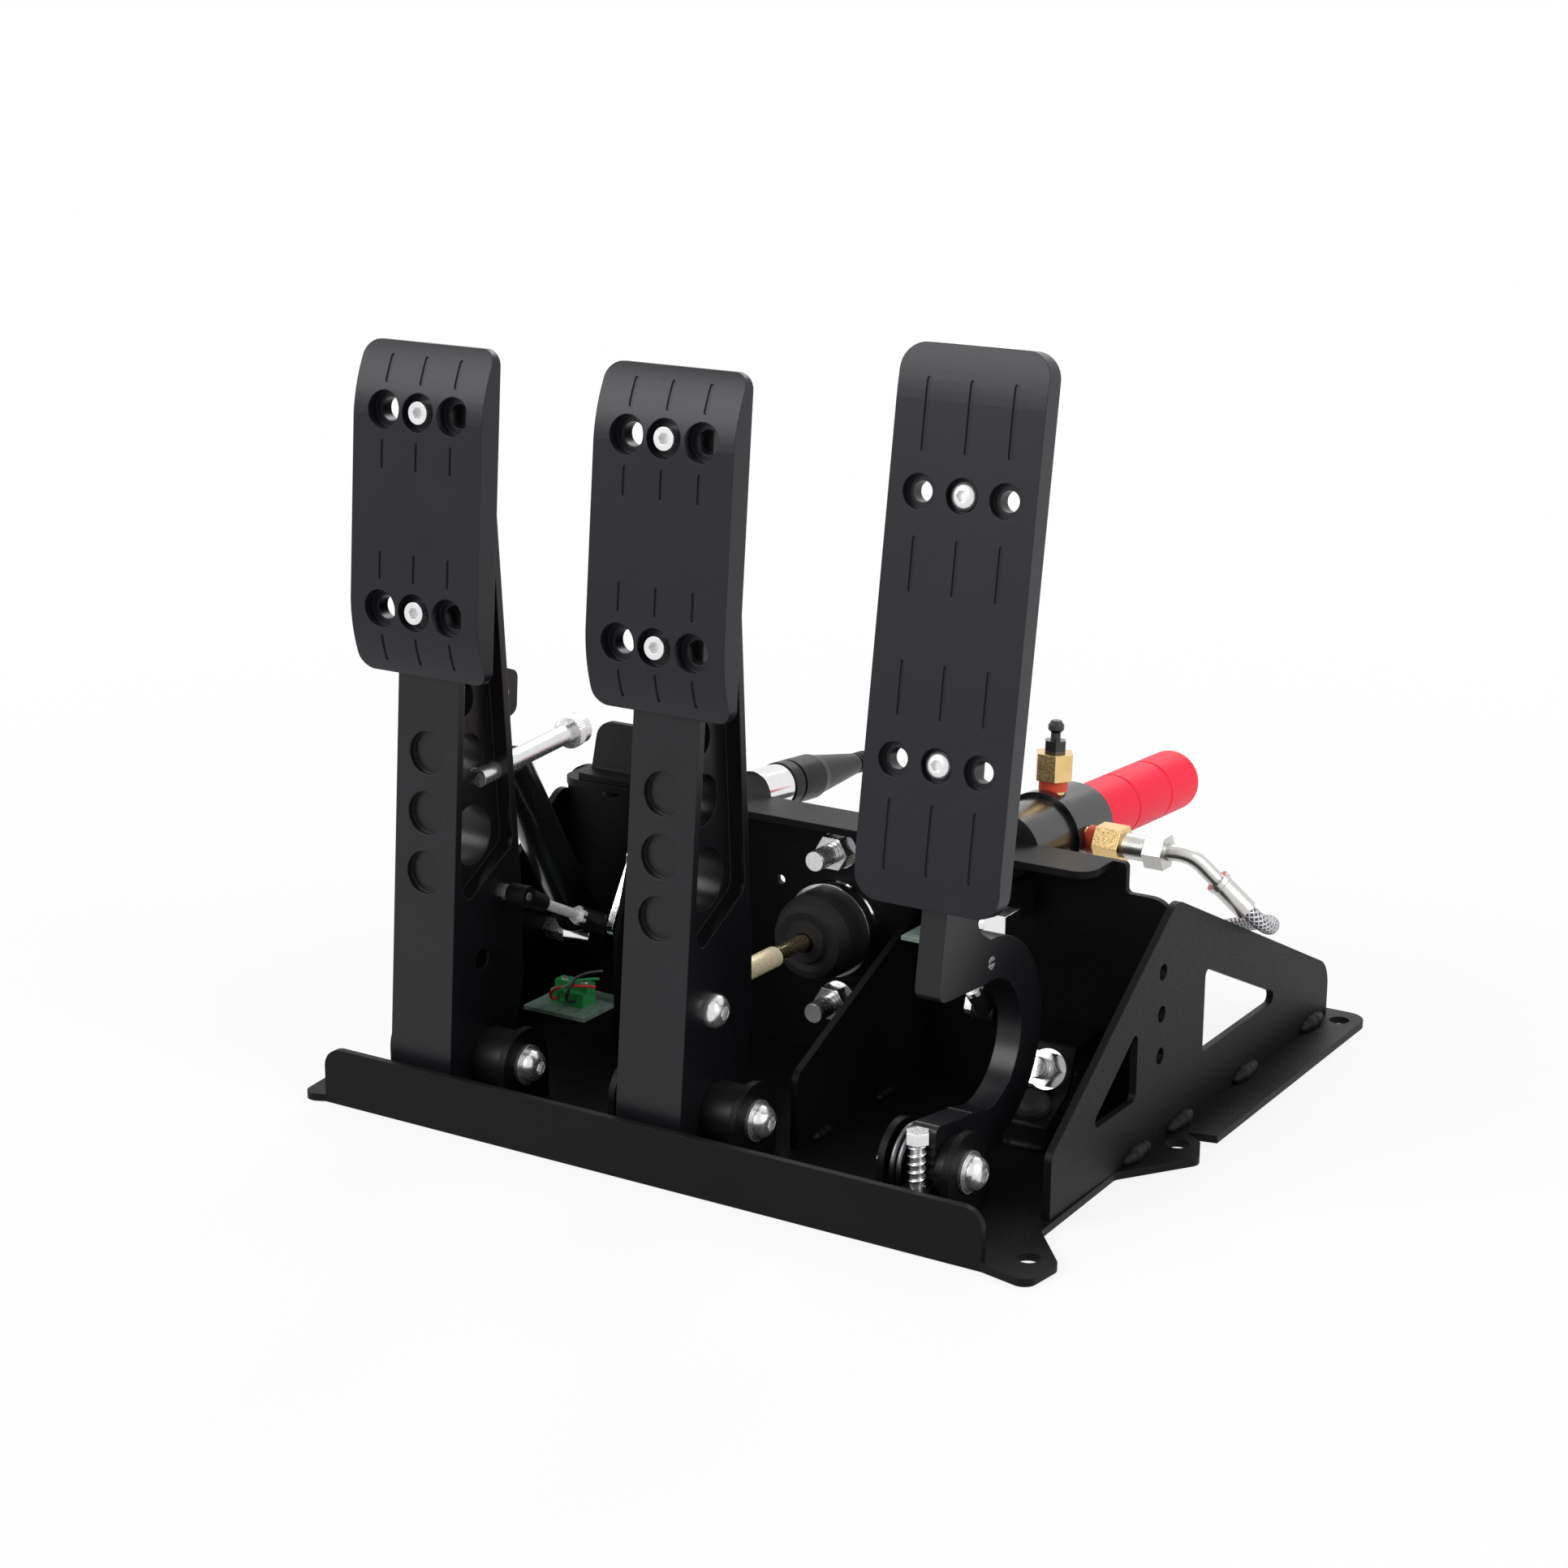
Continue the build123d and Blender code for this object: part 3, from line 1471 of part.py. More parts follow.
def master_cylinder():
    front = bulkhead_rear
    half = stud_rise + master_flange_round
    plan = RectangleRounded(2 * master_flange_round + fold_round, 2 * half, master_flange_round)
    face = Plane(origin=(brake_x, front, master_z), x_dir=(1, 0, 0), z_dir=(0, 1, 0))
    body = extrude(face * plan, amount=master_flange_thick)
    body = body + round_bar((brake_x, front, master_z), along_y, master_flange_thick, master_body + 2 * fold_round)
    rest = master_length - master_flange_thick
    body = body + round_bar(
        (brake_x, front + master_flange_thick - fold_round, master_z), along_y, rest + fold_round, master_body
    )
    spigot_start = bulkhead_y - spigot_reach
    body = body + round_bar((brake_x, spigot_start, master_z), along_y, front + sheet - spigot_start, master_spigot)
    body = body + round_bar(
        (brake_x, outlet_y, master_z), along_x, outlet_reach, outlet_diameter
    )
    bore_length = pushrod_piston_y + piston_length + piston_room - spigot_start + cut_over
    body = body - round_bar(
        (brake_x, spigot_start - cut_over, master_z), along_y, bore_length, master_bore
    )
    for rise in (-stud_rise, stud_rise):
        spot = (brake_x, front - cut_over, master_z + rise)
        body = body - round_bar(spot, along_y, master_flange_thick + 2 * cut_over, stud_diameter)
    return body


def brake_piston():
    return round_bar(piston_spot, along_y, piston_length, piston_diameter)


def boot():
    """A rubber boot round the master cylinder's nose, open for the pushrod."""
    base = bulkhead_y
    depth = base - boot_front_y
    rear, front, collar = boot_rear / 2, boot_front / 2, boot_collar / 2
    hole = pushrod_diameter / 2 + boot_hole_room
    inner = master_spigot / 2 + ball_fit
    profile = [
        (inner, 0),
        (rear, 0),
        (rear, depth * 0.62),
        (rear * 0.97, depth * 0.8),
        (front, depth),
        (front * 0.82, depth + groove_depth),
        (collar, depth),
        (collar * 0.92, depth + boot_wall),
        (hole, depth + boot_wall),
        (hole, depth - boot_wall),
        (inner * 0.8, depth - boot_wall),
        (inner, depth - 2 * boot_wall),
    ]
    return turned((brake_x, base, master_z), (0, -1, 0), profile)


def boot_ring_piece():
    """The metal ring that clamps the boot: two raised bands on a sleeve."""
    inner = boot_rear / 2 + pivot_fit
    outer = boot_ring / 2
    waist = outer - groove_depth
    width = boot_ring_width
    profile = [
        (inner, 0),
        (outer, 0),
        (outer, width * 0.35),
        (waist, width * 0.42),
        (waist, width * 0.58),
        (outer, width * 0.65),
        (outer, width),
        (inner, width),
    ]
    return turned((brake_x, bulkhead_y, master_z), (0, -1, 0), profile)


def pushrod():
    way, length = ends_between(pin_spot, piston_spot)
    half = pushrod_eye_width / 2
    eye = round_bar((brake_x - half, pin_spot[1], pin_spot[2]), along_x, pushrod_eye_width, pushrod_eye)
    thread = round_bar(pin_spot, tuple(way), pushrod_thread_rear - pin_spot[1], pushrod_thread)
    rod = round_bar(pin_spot, tuple(way), length - side_play - pivot_fit, pushrod_diameter)
    body = eye + thread + rod
    return body - round_bar(
        (brake_x - arm_width, pin_spot[1], pin_spot[2]), along_x, 2 * arm_width, cross_hole + 2 * pivot_fit
    )


def pushrod_pin():
    """A button-head bolt across the brake arm."""
    right = brake_x + arm_width / 2
    shank = round_bar((right - arm_width, pin_spot[1], pin_spot[2]), along_x, arm_width, cross_hole)
    head = dome_head(
        (right, pin_spot[1], pin_spot[2]), along_x, button_head, button_height, button_socket, button_socket_depth
    )
    return shank + head


# Brake slave cylinder, its elastomers and fittings
def on_slave(along):
    """A place on the slave cylinder's axis; along is counted in y from the fittings."""
    spot = Vector(slave_x, slave_y, slave_z) + slave_way * ((along - slave_y) / slave_way.Y)
    return (spot.X, spot.Y, spot.Z)


slave_up = Vector(0, -slave_way.Z, slave_way.Y)


def slave_cylinder():
    start = bulkhead_y
    way = tuple(slave_way)
    radius, band, cap = slave_barrel / 2, slave_band / 2, slave_cap / 2
    ring_at = slave_ring_start - start
    band_at = ring_at + slave_ring_width
    band_end = slave_band_end - start
    profile = [
        (0, 0),
        (radius, 0),
        (radius, band_at),
        (band, band_at),
        (band, band_end),
        (cap - groove_depth, band_end),
        (cap - groove_depth, band_end + slave_cap_width),
        (0, band_end + slave_cap_width),
    ]
    body = turned(on_slave(start), way, profile)
    reach = slave_ring
    body = body - box_between(
        (slave_x - reach, start - reach, slave_z - reach),
        (slave_x + reach, bulkhead_rear, slave_z + reach),
    )
    rod_end = elastomer_count * elastomer_length - elastomer_round
    rod = round_bar(on_slave(slave_band_end), way, slave_cap_width + rod_end, slave_rod)
    body = body + rod
    for out in (tuple(slave_up), along_x):
        hole = Vector(*on_slave(slave_y)) + Vector(*out) * (slave_bore / 2)
        body = body - round_bar(tuple(hole), out, slave_band, fitting_thread + 2 * pivot_fit)
    return body


def slave_rings():
    way = tuple(slave_way)
    bead = ring(
        on_slave(slave_ring_start),
        way,
        slave_ring_width - pivot_fit,
        slave_ring,
        slave_barrel + 2 * pivot_fit,
    )
    cap = ring(
        on_slave(slave_band_end + pivot_fit),
        way,
        slave_cap_width - 2 * pivot_fit,
        slave_cap,
        slave_cap - 2 * groove_depth + 2 * pivot_fit,
    )
    return Compound(children=[bead, cap])


def elastomers():
    """Short rubber cylinders on one rod; the last has a rounded, closed end."""
    rings = []
    hole = slave_rod / 2 + slave_rod_fit
    first = slave_band_end + slave_cap_width + side_play
    for step in range(elastomer_count):
        start = on_slave(first + step * elastomer_length * slave_way.Y)
        radius = elastomer / 2
        length = elastomer_length - elastomer_gap
        if step < elastomer_count - 1:
            profile = [(hole, 0), (radius - groove_depth, 0), (radius, groove_depth)]
            profile += [(radius, length - groove_depth), (radius - groove_depth, length), (hole, length)]
            rings.append(turned(start, tuple(slave_way), profile))
        else:
            body = turned(
                start,
                tuple(slave_way),
                [(0, 0), (radius - groove_depth, 0), (radius, groove_depth), (radius, length), (0, length)],
            )
            far = max(body.edges().filter_by(GeomType.CIRCLE), key=lambda e: e.center().Y)
            body = fillet(far, elastomer_round)
            depth = length - elastomer_round + slave_rod_fit + side_play
            rings.append(body - round_bar(start, tuple(slave_way), depth, slave_rod + 2 * slave_rod_fit))
    return Compound(children=rings)


def fitting_ways():
    """Start on the slave cylinder's axis and direction of the two adapters."""
    return [(on_slave(slave_y), tuple(slave_up)), (on_slave(slave_y), along_x)]


def step_from(start, way, distance):
    spot = Vector(*start) + Vector(*way) * distance
    return (spot.X, spot.Y, spot.Z)


def brass_adapters():
    bodies = []
    top = slave_band / 2 + fitting_thread_length
    for start, way in fitting_ways():
        low = slave_bore / 2 + side_play
        thread = round_bar(step_from(start, way, low), way, top - low, fitting_thread)
        head = hex_bar(step_from(start, way, top), way, brass_length, brass_flats)
        hole = round_bar(step_from(start, way, top + fold_round), way, brass_length, nipple_bore)
        bodies.append(thread + head - hole)
    return Compound(children=bodies)


def thread_seals():
    low = slave_band / 2 + groove_depth
    return Compound(
        children=[
            ring(
                step_from(start, way, low),
                way,
                fitting_thread_length - groove_depth - pivot_fit,
                fitting_thread + seal_over,
                fitting_thread + 2 * pivot_fit,
            )
            for start, way in fitting_ways()
        ]
    )


def bleed_nipple():
    start, way = fitting_ways()[0]
    base = slave_band / 2 + fitting_thread_length + brass_length
    shank = round_bar(step_from(start, way, base - fold_round), way, fold_round, nipple_bore - 2 * pivot_fit)
    seat = hex_bar(step_from(start, way, base), way, nipple_hex, nipple_flats)
    waist, top, height = nipple_waist / 2, nipple_top / 2, nipple_height
    profile = [
        (0, nipple_hex),
        (waist, nipple_hex),
        (waist, height * 0.62),
        (top, height * 0.72),
        (top, height * 0.86),
        (waist, height),
        (0, height),
    ]
    return shank + seat + turned(step_from(start, way, base), way, profile)


tube_start_x = slave_x + slave_band / 2 + fitting_thread_length + brass_length
nut_end_x = tube_start_x + hose_thread_length + hose_nut_length
tube_points = [
    (nut_end_x - hose_nut_length / 2, slave_y, slave_z),
    (nut_end_x + tube_knee_reach, slave_y + tube_knee_back, slave_z),
    ferrule_end,
]


def tube_way():
    step = Vector(*tube_points[2]) - Vector(*tube_points[1])
    return step.normalized()


def hose_end():
    """The tube nut, the bent tube and the ferrule that holds the hose."""
    start = (tube_start_x - thread_engaged, slave_y, slave_z)
    thread = round_bar(start, along_x, hose_thread_length + thread_engaged, nipple_bore - 2 * pivot_fit)
    sleeve = round_bar(
        (tube_start_x, slave_y, slave_z), along_x, hose_thread_length, hose_thread
    )
    head = hex_bar(
        (tube_start_x + hose_thread_length, slave_y, slave_z), along_x, hose_nut_length, hose_nut_flats
    )
    nut = thread + sleeve + head
    way = tube_way()
    tip = Vector(*ferrule_end) - way * (ferrule_length * 0.55)
    path, radii = cord_path([tube_points[0], tube_points[1], tuple(tip)])
    print("hose tube radii", [round(r, 1) for r in radii])
    begin = Plane(origin=path @ 0, z_dir=path % 0)
    tube = sweep(begin * Circle(tube_diameter / 2), path=path)
    nut = nut - round_bar(
        tuple(tube_points[0]), path % 0, hose_nut_length, tube_diameter + 2 * pivot_fit
    )
    low = Vector(*ferrule_end) - way * ferrule_length
    hold = tube_diameter / 2 + pivot_fit
    outer = ferrule_diameter / 2
    profile = [
        (hold, 0),
        (outer + groove_depth, 0),
        (outer + groove_depth, fold_round),
        (outer, fold_round + groove_depth),
        (outer, ferrule_length),
        (hold, ferrule_length),
    ]
    ferrule = turned(tuple(low), tuple(way), profile)
    return Compound(children=[nut, tube, ferrule])


def hose_points():
    way = tube_way()
    start = Vector(*ferrule_end) - way * (ferrule_length * 0.4)
    first = Vector(*ferrule_end) + way * hose_lead
    outlet_x = brake_x + outlet_reach + side_play
    last = (outlet_x, outlet_y, master_z)
    return [tuple(start), tuple(first), *hose_route, (outlet_x + hose_tail, outlet_y, master_z), last]


# Pressure sensor behind the bulkhead
def on_gauge(y):
    spot = Vector(gauge_x, bulkhead_y, gauge_z) + gauge_way * ((y - bulkhead_y) / gauge_way.Y)
    return (spot.X, spot.Y, spot.Z)


def pressure_sensor():
    body = round_bar(
        on_gauge(bulkhead_y), tuple(gauge_way), gauge_tube_length + sheet, gauge_tube
    )
    reach = 2 * gauge_tube
    return body - box_between(
        (gauge_x - reach, bulkhead_y - reach, gauge_z - reach),
        (gauge_x + reach, bulkhead_rear, gauge_z + reach),
    )


def sensor_plug():
    """A round plug with a grooved collar, a taper and a ribbed strain relief."""
    outer, tail, core = gauge_collar / 2, gauge_tail / 2, relief_core / 2
    length, taper = gauge_collar_length, gauge_tail_length
    profile = [
        (0, 0),
        (outer - gauge_groove, 0),
        (outer, gauge_groove),
        (outer, length * 0.3),
        (outer - gauge_groove, length * 0.3),
        (outer - gauge_groove, length * 0.36),
        (outer, length * 0.36),
        (outer, length),
        (outer - gauge_groove, length + taper * 0.12),
        (outer * 0.62, length + taper * 0.7),
        (tail, length + taper),
    ]
    along = length + taper
    for _ in range(relief_ribs):
        profile += [(core, along), (core, along + relief_pitch / 2)]
        profile += [(tail, along + relief_pitch / 2), (tail, along + relief_pitch)]
        along += relief_pitch
    profile += [(0, along)]
    start = on_gauge(bulkhead_y)
    start = step_from(start, tuple(gauge_way), gauge_tube_length + sheet + pivot_fit)
    return turned(start, tuple(gauge_way), profile)


# Position sensors: brackets, shafts, levers and links
clutch_plate_x = clutch_link_x + clutch_lever_gap + lever_thick + bracket_gap
throttle_plate_x = throttle_link_x - throttle_lever_gap - lever_thick - bracket_gap - bracket_thick


def sensor_brackets():
    """Two plates that stand off the bulkhead and carry the turning sensors."""
    low_x = clutch_plate_x
    left_corners = [
        (clutch_link_rear_y - clutch_plate_lead, sheet, 0),
        (bulkhead_y, sheet, 0),
        (bulkhead_y, clutch_shaft_z + sensor_body / 2, 0),
        (clutch_shaft_y - sensor_body / 2, clutch_shaft_z + sensor_body / 2, fold_round),
        (clutch_link_rear_y - clutch_plate_lead, clutch_link_rear_z - lever_width / 2, fold_round),
    ]
    left = slab_x(left_corners, low_x, low_x + bracket_thick)
    left = left - round_bar(
        (low_x - cut_over, clutch_shaft_y, clutch_shaft_z),
        along_x,
        bracket_thick + 2 * cut_over,
        sensor_shaft + 2 * shaft_fit,
    )
    high_x = throttle_plate_x + bracket_thick
    half = sensor_body / 2
    right_corners = [
        (throttle_shaft_y - half, throttle_shaft_z - half, fold_round),
        (bulkhead_y, throttle_shaft_z - half, 0),
        (bulkhead_y, throttle_shaft_z + half, 0),
        (throttle_shaft_y - half, throttle_shaft_z + half, fold_round),
    ]
    right = slab_x(right_corners, high_x - bracket_thick, high_x)
    right = right - round_bar(
        (high_x - bracket_thick - cut_over, throttle_shaft_y, throttle_shaft_z),
        along_x,
        bracket_thick + 2 * cut_over,
        sensor_shaft + 2 * shaft_fit,
    )
    return Compound(children=[left, right])


def rotary_sensors():
    """The sensors' housings, each with a bore for its turning shaft."""
    bodies = []
    for plate_side, way, y, z in (
        (clutch_plate_x + bracket_thick, 1, clutch_shaft_y, clutch_shaft_z),
        (throttle_plate_x, -1, throttle_shaft_y, throttle_shaft_z),
    ):
        along = (way, 0, 0)
        body = round_bar((plate_side, y, z), along, sensor_body_length, sensor_body)
        bore_start = plate_side - way * cut_over
        bore_length = sensor_body_length / 2 + cut_over
        bore = round_bar((bore_start, y, z), along, bore_length, sensor_shaft + 2 * shaft_fit)
        bodies.append(body - bore)
    return Compound(children=bodies)


def lever(x_low, shaft, ball, shaft_low, shaft_high, stud_low, stud_high):
    """A lever plate on its shaft, with the stud that reaches for the link's cup."""
    way, length = ends_between((0, *shaft), (0, *ball))
    plate = round_bar((x_low, *shaft), along_x, lever_thick, lever_width * 1.4)
    plate = plate + round_bar((x_low, *ball), along_x, lever_thick, lever_width)
    side = Vector(0, way.Z, -way.Y) * (lever_width / 2)
    a, b = Vector(0, *shaft), Vector(0, *ball)
    corners = [(p.Y, p.Z, 0) for p in (a + side, b + side, b - side, a - side)]
    plate = plate + slab_x(corners, x_low, x_low + lever_thick)
    plate = plate + round_bar((shaft_low, *shaft), along_x, shaft_high - shaft_low, sensor_shaft)
    return plate + round_bar((stud_low, *ball), along_x, stud_high - stud_low, link_stud)


def clutch_lever():
    x_low = clutch_link_x + clutch_lever_gap
    shaft = (clutch_shaft_y, clutch_shaft_z)
    ball = (clutch_link_rear_y, clutch_link_rear_z)
    end = clutch_plate_x + bracket_thick + sensor_body_length / 2 - cut_over
    stud_low = clutch_link_x + link_cup / 2 + ball_fit
    return lever(x_low, shaft, ball, x_low, end, stud_low, x_low)


def throttle_lever():
    """The throttle's lever with the clamp block that grips the sensor's shaft."""
    x_high = throttle_link_x - throttle_lever_gap
    x_low = x_high - lever_thick
    shaft = (throttle_shaft_y, throttle_shaft_z)
    ball = (throttle_link_rear_y, throttle_link_rear_z)
    start = throttle_plate_x - sensor_body_length / 2 + cut_over
    end = throttle_link_x + link_cup / 2
    stud_high = throttle_link_x - link_cup / 2 - ball_fit
    body = lever(x_low, shaft, ball, start, end, x_low, stud_high)
    half = clamp_height / 2
    clamp = box_between(
        (x_low + lever_thick, shaft[0] - half, shaft[1] - half),
        (end, shaft[0] + half, shaft[1] + half),
    )
    return body + clamp


def link(front, rear, x):
    """A link: a cup at each end, a rod between and a lock nut before the rear cup."""
    start, end = (x, *front), (x, *rear)
    way, length = ends_between(start, end)
    back = tuple(way * -1)
    way = tuple(way)
    body = round_bar(start, way, length, link_rod)
    body = body + hex_bar(step_from(end, back, link_cup_length + link_nut_height), way, link_nut_height, link_nut_flats)
    for spot, toward in ((start, way), (end, back)):
        cup = round_bar((x - link_cup / 2, spot[1], spot[2]), along_x, link_cup, link_cup)
        neck = turned(
            spot,
            toward,
            [(0, 0), (link_cup / 2, 0), (link_cup * 0.42, link_cup_length), (0, link_cup_length)],
        )
        body = body + cup + neck
    hole = round_bar(
        (x - link_cup, front[0], front[1]), along_x, 2 * link_cup, link_stud + 2 * shaft_fit
    )
    return body - hole


def clutch_link():
    return link(
        (clutch_link_front_y, clutch_link_front_z),
        (clutch_link_rear_y, clutch_link_rear_z),
        clutch_link_x,
    )


def throttle_link():
    return link(
        (throttle_link_front_y, throttle_link_front_z),
        (throttle_link_rear_y, throttle_link_rear_z),
        throttle_link_x,
    )


def sensor_boards():
    """A small circuit board on each bracket, and the clutch board's terminal block."""
    left = box_between(
        (clutch_plate_x - board_width, board_front_y, board_low_z),
        (clutch_plate_x, board_front_y + board_depth, board_low_z + board_thick),
    )
    middle = clutch_plate_x - board_width / 2
    top = board_low_z + board_thick
    block_y = board_front_y + terminal_inset
    block = box_between(
        (middle - terminal_width / 2, block_y, top),
        (middle + terminal_width / 2, block_y + terminal_depth, top + terminal_height),
    )
    step = terminal_height * 0.35
    block = block - box_between(
        (middle - terminal_width, block_y - cut_over, top + terminal_height - step),
        (middle + terminal_width, block_y + step, top + terminal_height + cut_over),
    )
    low_z = throttle_shaft_z - sensor_body / 2 - board_thick
    right = box_between(
        (throttle_plate_x + bracket_thick - board_width, throttle_shaft_y - sensor_body / 2, low_z),
        (throttle_plate_x + bracket_thick, throttle_shaft_y + board_depth / 2, low_z + board_thick),
    )
    return Compound(children=[left, block, right])


def sensor_wires():
    """Thin leads that bow out of the terminal block to the bracket."""
    middle = clutch_plate_x - board_width / 2
    top = board_low_z + board_thick
    front = board_front_y + terminal_inset
    pitch = terminal_width / 4
    wires = []
    for step in range(3):
        x = middle + (step - 1) * pitch
        z = top + terminal_height * 0.3
        points = [
            (x, front, z),
            (x, front - wire_bow * 0.6, z),
            (x + wire_bow * 0.3, front - wire_bow, z + wire_bow * 0.8),
            (clutch_plate_x - wire_bow * 0.7, front - wire_bow * 0.4, z + wire_bow * (1 + 0.3 * step)),
            (clutch_plate_x, front + pitch * step * 0.6, z + wire_bow * (0.9 + 0.3 * step)),
        ]
        wires.append(cord(points, wire_diameter, "sensor wire"))
    return Compound(children=wires)


makers = {
    "base_plate": base_plate,
    "centre_gusset": centre_gusset,
    "bulkhead": bulkhead,
    "pivot_ears": pivot_ears,
    "pivot_bolts": pivot_bolts,
    "pivot_nuts": pivot_nuts,
    "pivot_bushes": pivot_bushes,
    "washers": washers,
    "long_studs": long_studs,
    "stud_nuts": stud_nuts,
    "throttle_arm": throttle_arm,
    "throttle_pad": throttle_pad,
    "throttle_pad_screws": throttle_pad_screws,
    "throttle_pin": throttle_pin_piece,
    "idle_stop_bolt": idle_stop_bolt,
    "idle_stop_spring": idle_stop_spring,
    "throttle_return_spring": throttle_return_spring,
    "throttle_stop_bracket": throttle_stop_bracket,
    "throttle_bumper": throttle_bumper,
    "clutch_stop_bracket": clutch_stop_bracket,
    "clutch_stop_screw": clutch_stop_screw,
    "clutch_lug": clutch_lug,
    "clutch_studs": clutch_studs,
    "strut_cylinder": strut_cylinder_piece,
    "strut_end_low": strut_end_low,
    "strut_end_high": strut_end_high,
    "strut_rod": strut_rod_piece,
    "strut_stud": strut_stud,
    "master_cylinder": master_cylinder,
    "brake_piston": brake_piston,
    "boot": boot,
    "boot_ring": boot_ring_piece,
    "pushrod": pushrod,
    "pushrod_pin": pushrod_pin,
    "slave_cylinder": slave_cylinder,
    "slave_rings": slave_rings,
    "elastomers": elastomers,
    "brass_adapters": brass_adapters,
    "thread_seals": thread_seals,
    "bleed_nipple": bleed_nipple,
    "hose_end": hose_end,
    "pressure_sensor": pressure_sensor,
    "sensor_plug": sensor_plug,
    "sensor_brackets": sensor_brackets,
    "rotary_sensors": rotary_sensors,
    "clutch_lever": clutch_lever,
    "clutch_link": clutch_link,
    "throttle_lever": throttle_lever,
    "throttle_link": throttle_link,
    "sensor_boards": sensor_boards,
    "sensor_wires": sensor_wires,
}
pieces = {name: make() for name, make in makers.items()}
pieces["side_plate_left"] = side_plate(left_side_x, -1)
pieces["side_plate_right"] = side_plate(right_side_x, 1)
pieces["clutch_arm"] = swing_arm(clutch_x, clutch_tilt) - stop_screw_hole()
pieces["brake_arm"] = swing_arm(brake_x, brake_tilt)
pieces["clutch_pad"] = short_pad(clutch_x, clutch_tilt)
pieces["brake_pad"] = short_pad(brake_x, brake_tilt)
pieces["clutch_pad_screws"] = short_pad_screws(clutch_x, clutch_tilt)
pieces["brake_pad_screws"] = short_pad_screws(brake_x, brake_tilt)
pieces["brake_hose"] = cord(hose_points(), hose_diameter, "brake hose")

# Everything moves so that the origin lies midway between the corner fixing holes.
origin_x = (left_hole_x + right_hole_x) / 2
origin_y = (front_hole_y + rear_hole_y) / 2
os.makedirs("parts", exist_ok=True)
for name, shape in pieces.items():
    export_step(Pos(-origin_x, -origin_y, 0) * shape, "parts/" + name + ".step")
    print(name, round(shape.volume))
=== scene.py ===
# %% [markdown]
# # A pedal set, dressed for its picture
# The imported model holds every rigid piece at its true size. This lesson gives those pieces
# their finishes and adds what a solid leaves out: the pads' end grooves, screw threads, a
# braided hose, coloured leads, weld beads and knurling. Everything is in metres, in the
# frame of the model.

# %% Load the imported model
import bpy, bmesh
from math import cos, pi, radians, sin
from mathutils import Matrix, Vector
from mathutils.bvhtree import BVHTree


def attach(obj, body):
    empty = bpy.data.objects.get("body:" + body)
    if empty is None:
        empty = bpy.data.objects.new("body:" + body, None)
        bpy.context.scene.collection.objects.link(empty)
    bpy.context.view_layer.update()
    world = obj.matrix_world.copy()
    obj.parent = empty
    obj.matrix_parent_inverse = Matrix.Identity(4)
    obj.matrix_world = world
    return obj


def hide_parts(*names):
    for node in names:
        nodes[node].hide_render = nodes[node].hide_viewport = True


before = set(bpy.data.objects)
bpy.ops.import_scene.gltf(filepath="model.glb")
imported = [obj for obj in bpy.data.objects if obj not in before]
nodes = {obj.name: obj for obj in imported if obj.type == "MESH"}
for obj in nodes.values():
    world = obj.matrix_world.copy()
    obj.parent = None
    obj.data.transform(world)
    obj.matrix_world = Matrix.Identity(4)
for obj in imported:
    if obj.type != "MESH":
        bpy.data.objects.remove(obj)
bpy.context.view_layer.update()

# %% [markdown]
# The solids were drawn with depth counted back from the lip, while the origin of this frame
# lies 154.5 mm behind it. All three pedals turn about one line across the base, and lean
# back by a few degrees at rest.

# %% Places and angles used in several steps
lip_to_origin = 0.1545
pivot_y, pivot_z = 0.034, 0.020
arm_front = 0.025
clutch_x, brake_x, throttle_x = -0.1115, -0.0045, 0.105
clutch_tilt, brake_tilt, throttle_tilt = 4.4, 5.3, 8.8
clutch_link_x, throttle_link_x = -0.090, 0.092
cylinder_z = 0.059


def arm_place(tilt_degrees, x, height, depth):
    """A place on a tilted arm: height from the pivot, depth back from the front face."""
    t = radians(tilt_degrees)
    back = depth - arm_front
    return Vector((x, pivot_y + height * sin(t) + back * cos(t) - lip_to_origin,
                   pivot_z + height * cos(t) - back * sin(t)))


print("brake pad's middle", arm_place(brake_tilt, brake_x, 0.216, 0))

# %% [markdown]
# ## The camera
# The photograph was taken from the front right, a little above the pedals, with a long
# lens. A long lens keeps the two sides of the base nearly parallel. A camera could be aimed
# at a target with a constraint, but a plain rotation from three angles is easier to repeat:
# a turn to the left, a tilt down and a slight roll.

# %% Place the camera
turn, tilt, roll = radians(31.88), radians(16.17), radians(0.28)
right = Vector((cos(turn), sin(turn), 0))
ahead = Vector((-sin(turn) * cos(tilt), cos(turn) * cos(tilt), -sin(tilt)))
up = right.cross(ahead)
camera_x = right * cos(roll) + up * sin(roll)
camera_y = up * cos(roll) - right * sin(roll)
camera_data = bpy.data.cameras.new("camera")
camera_data.lens = 72.47
camera_data.sensor_width = 36.0
camera = bpy.data.objects.new("camera", camera_data)
bpy.context.scene.collection.objects.link(camera)
turned = Matrix((camera_x, camera_y, -ahead)).transposed().to_4x4()
camera.matrix_world = Matrix.Translation((0.6160, -1.0481, 0.4694)) @ turned
bpy.context.scene.camera = camera
print("camera at", [round(c, 3) for c in camera.matrix_world.translation])

# %% [markdown]
# ## Floor, backdrop and light
# The picture has a pure white ground, and only a soft shade under the base. Turning the
# lamps up until the floor burns out would wash out the black metal too, so the floor glows
# a little where the camera or a reflection sees it, and keeps part of its own shading for
# the shadow. The world is white to the camera and to reflections, and grey as a lamp.

# %% Floor and backdrop
def new_material(name):
    made = bpy.data.materials.new(name)
    made.use_nodes = True
    tree = made.node_tree
    return made, tree.nodes, tree.links


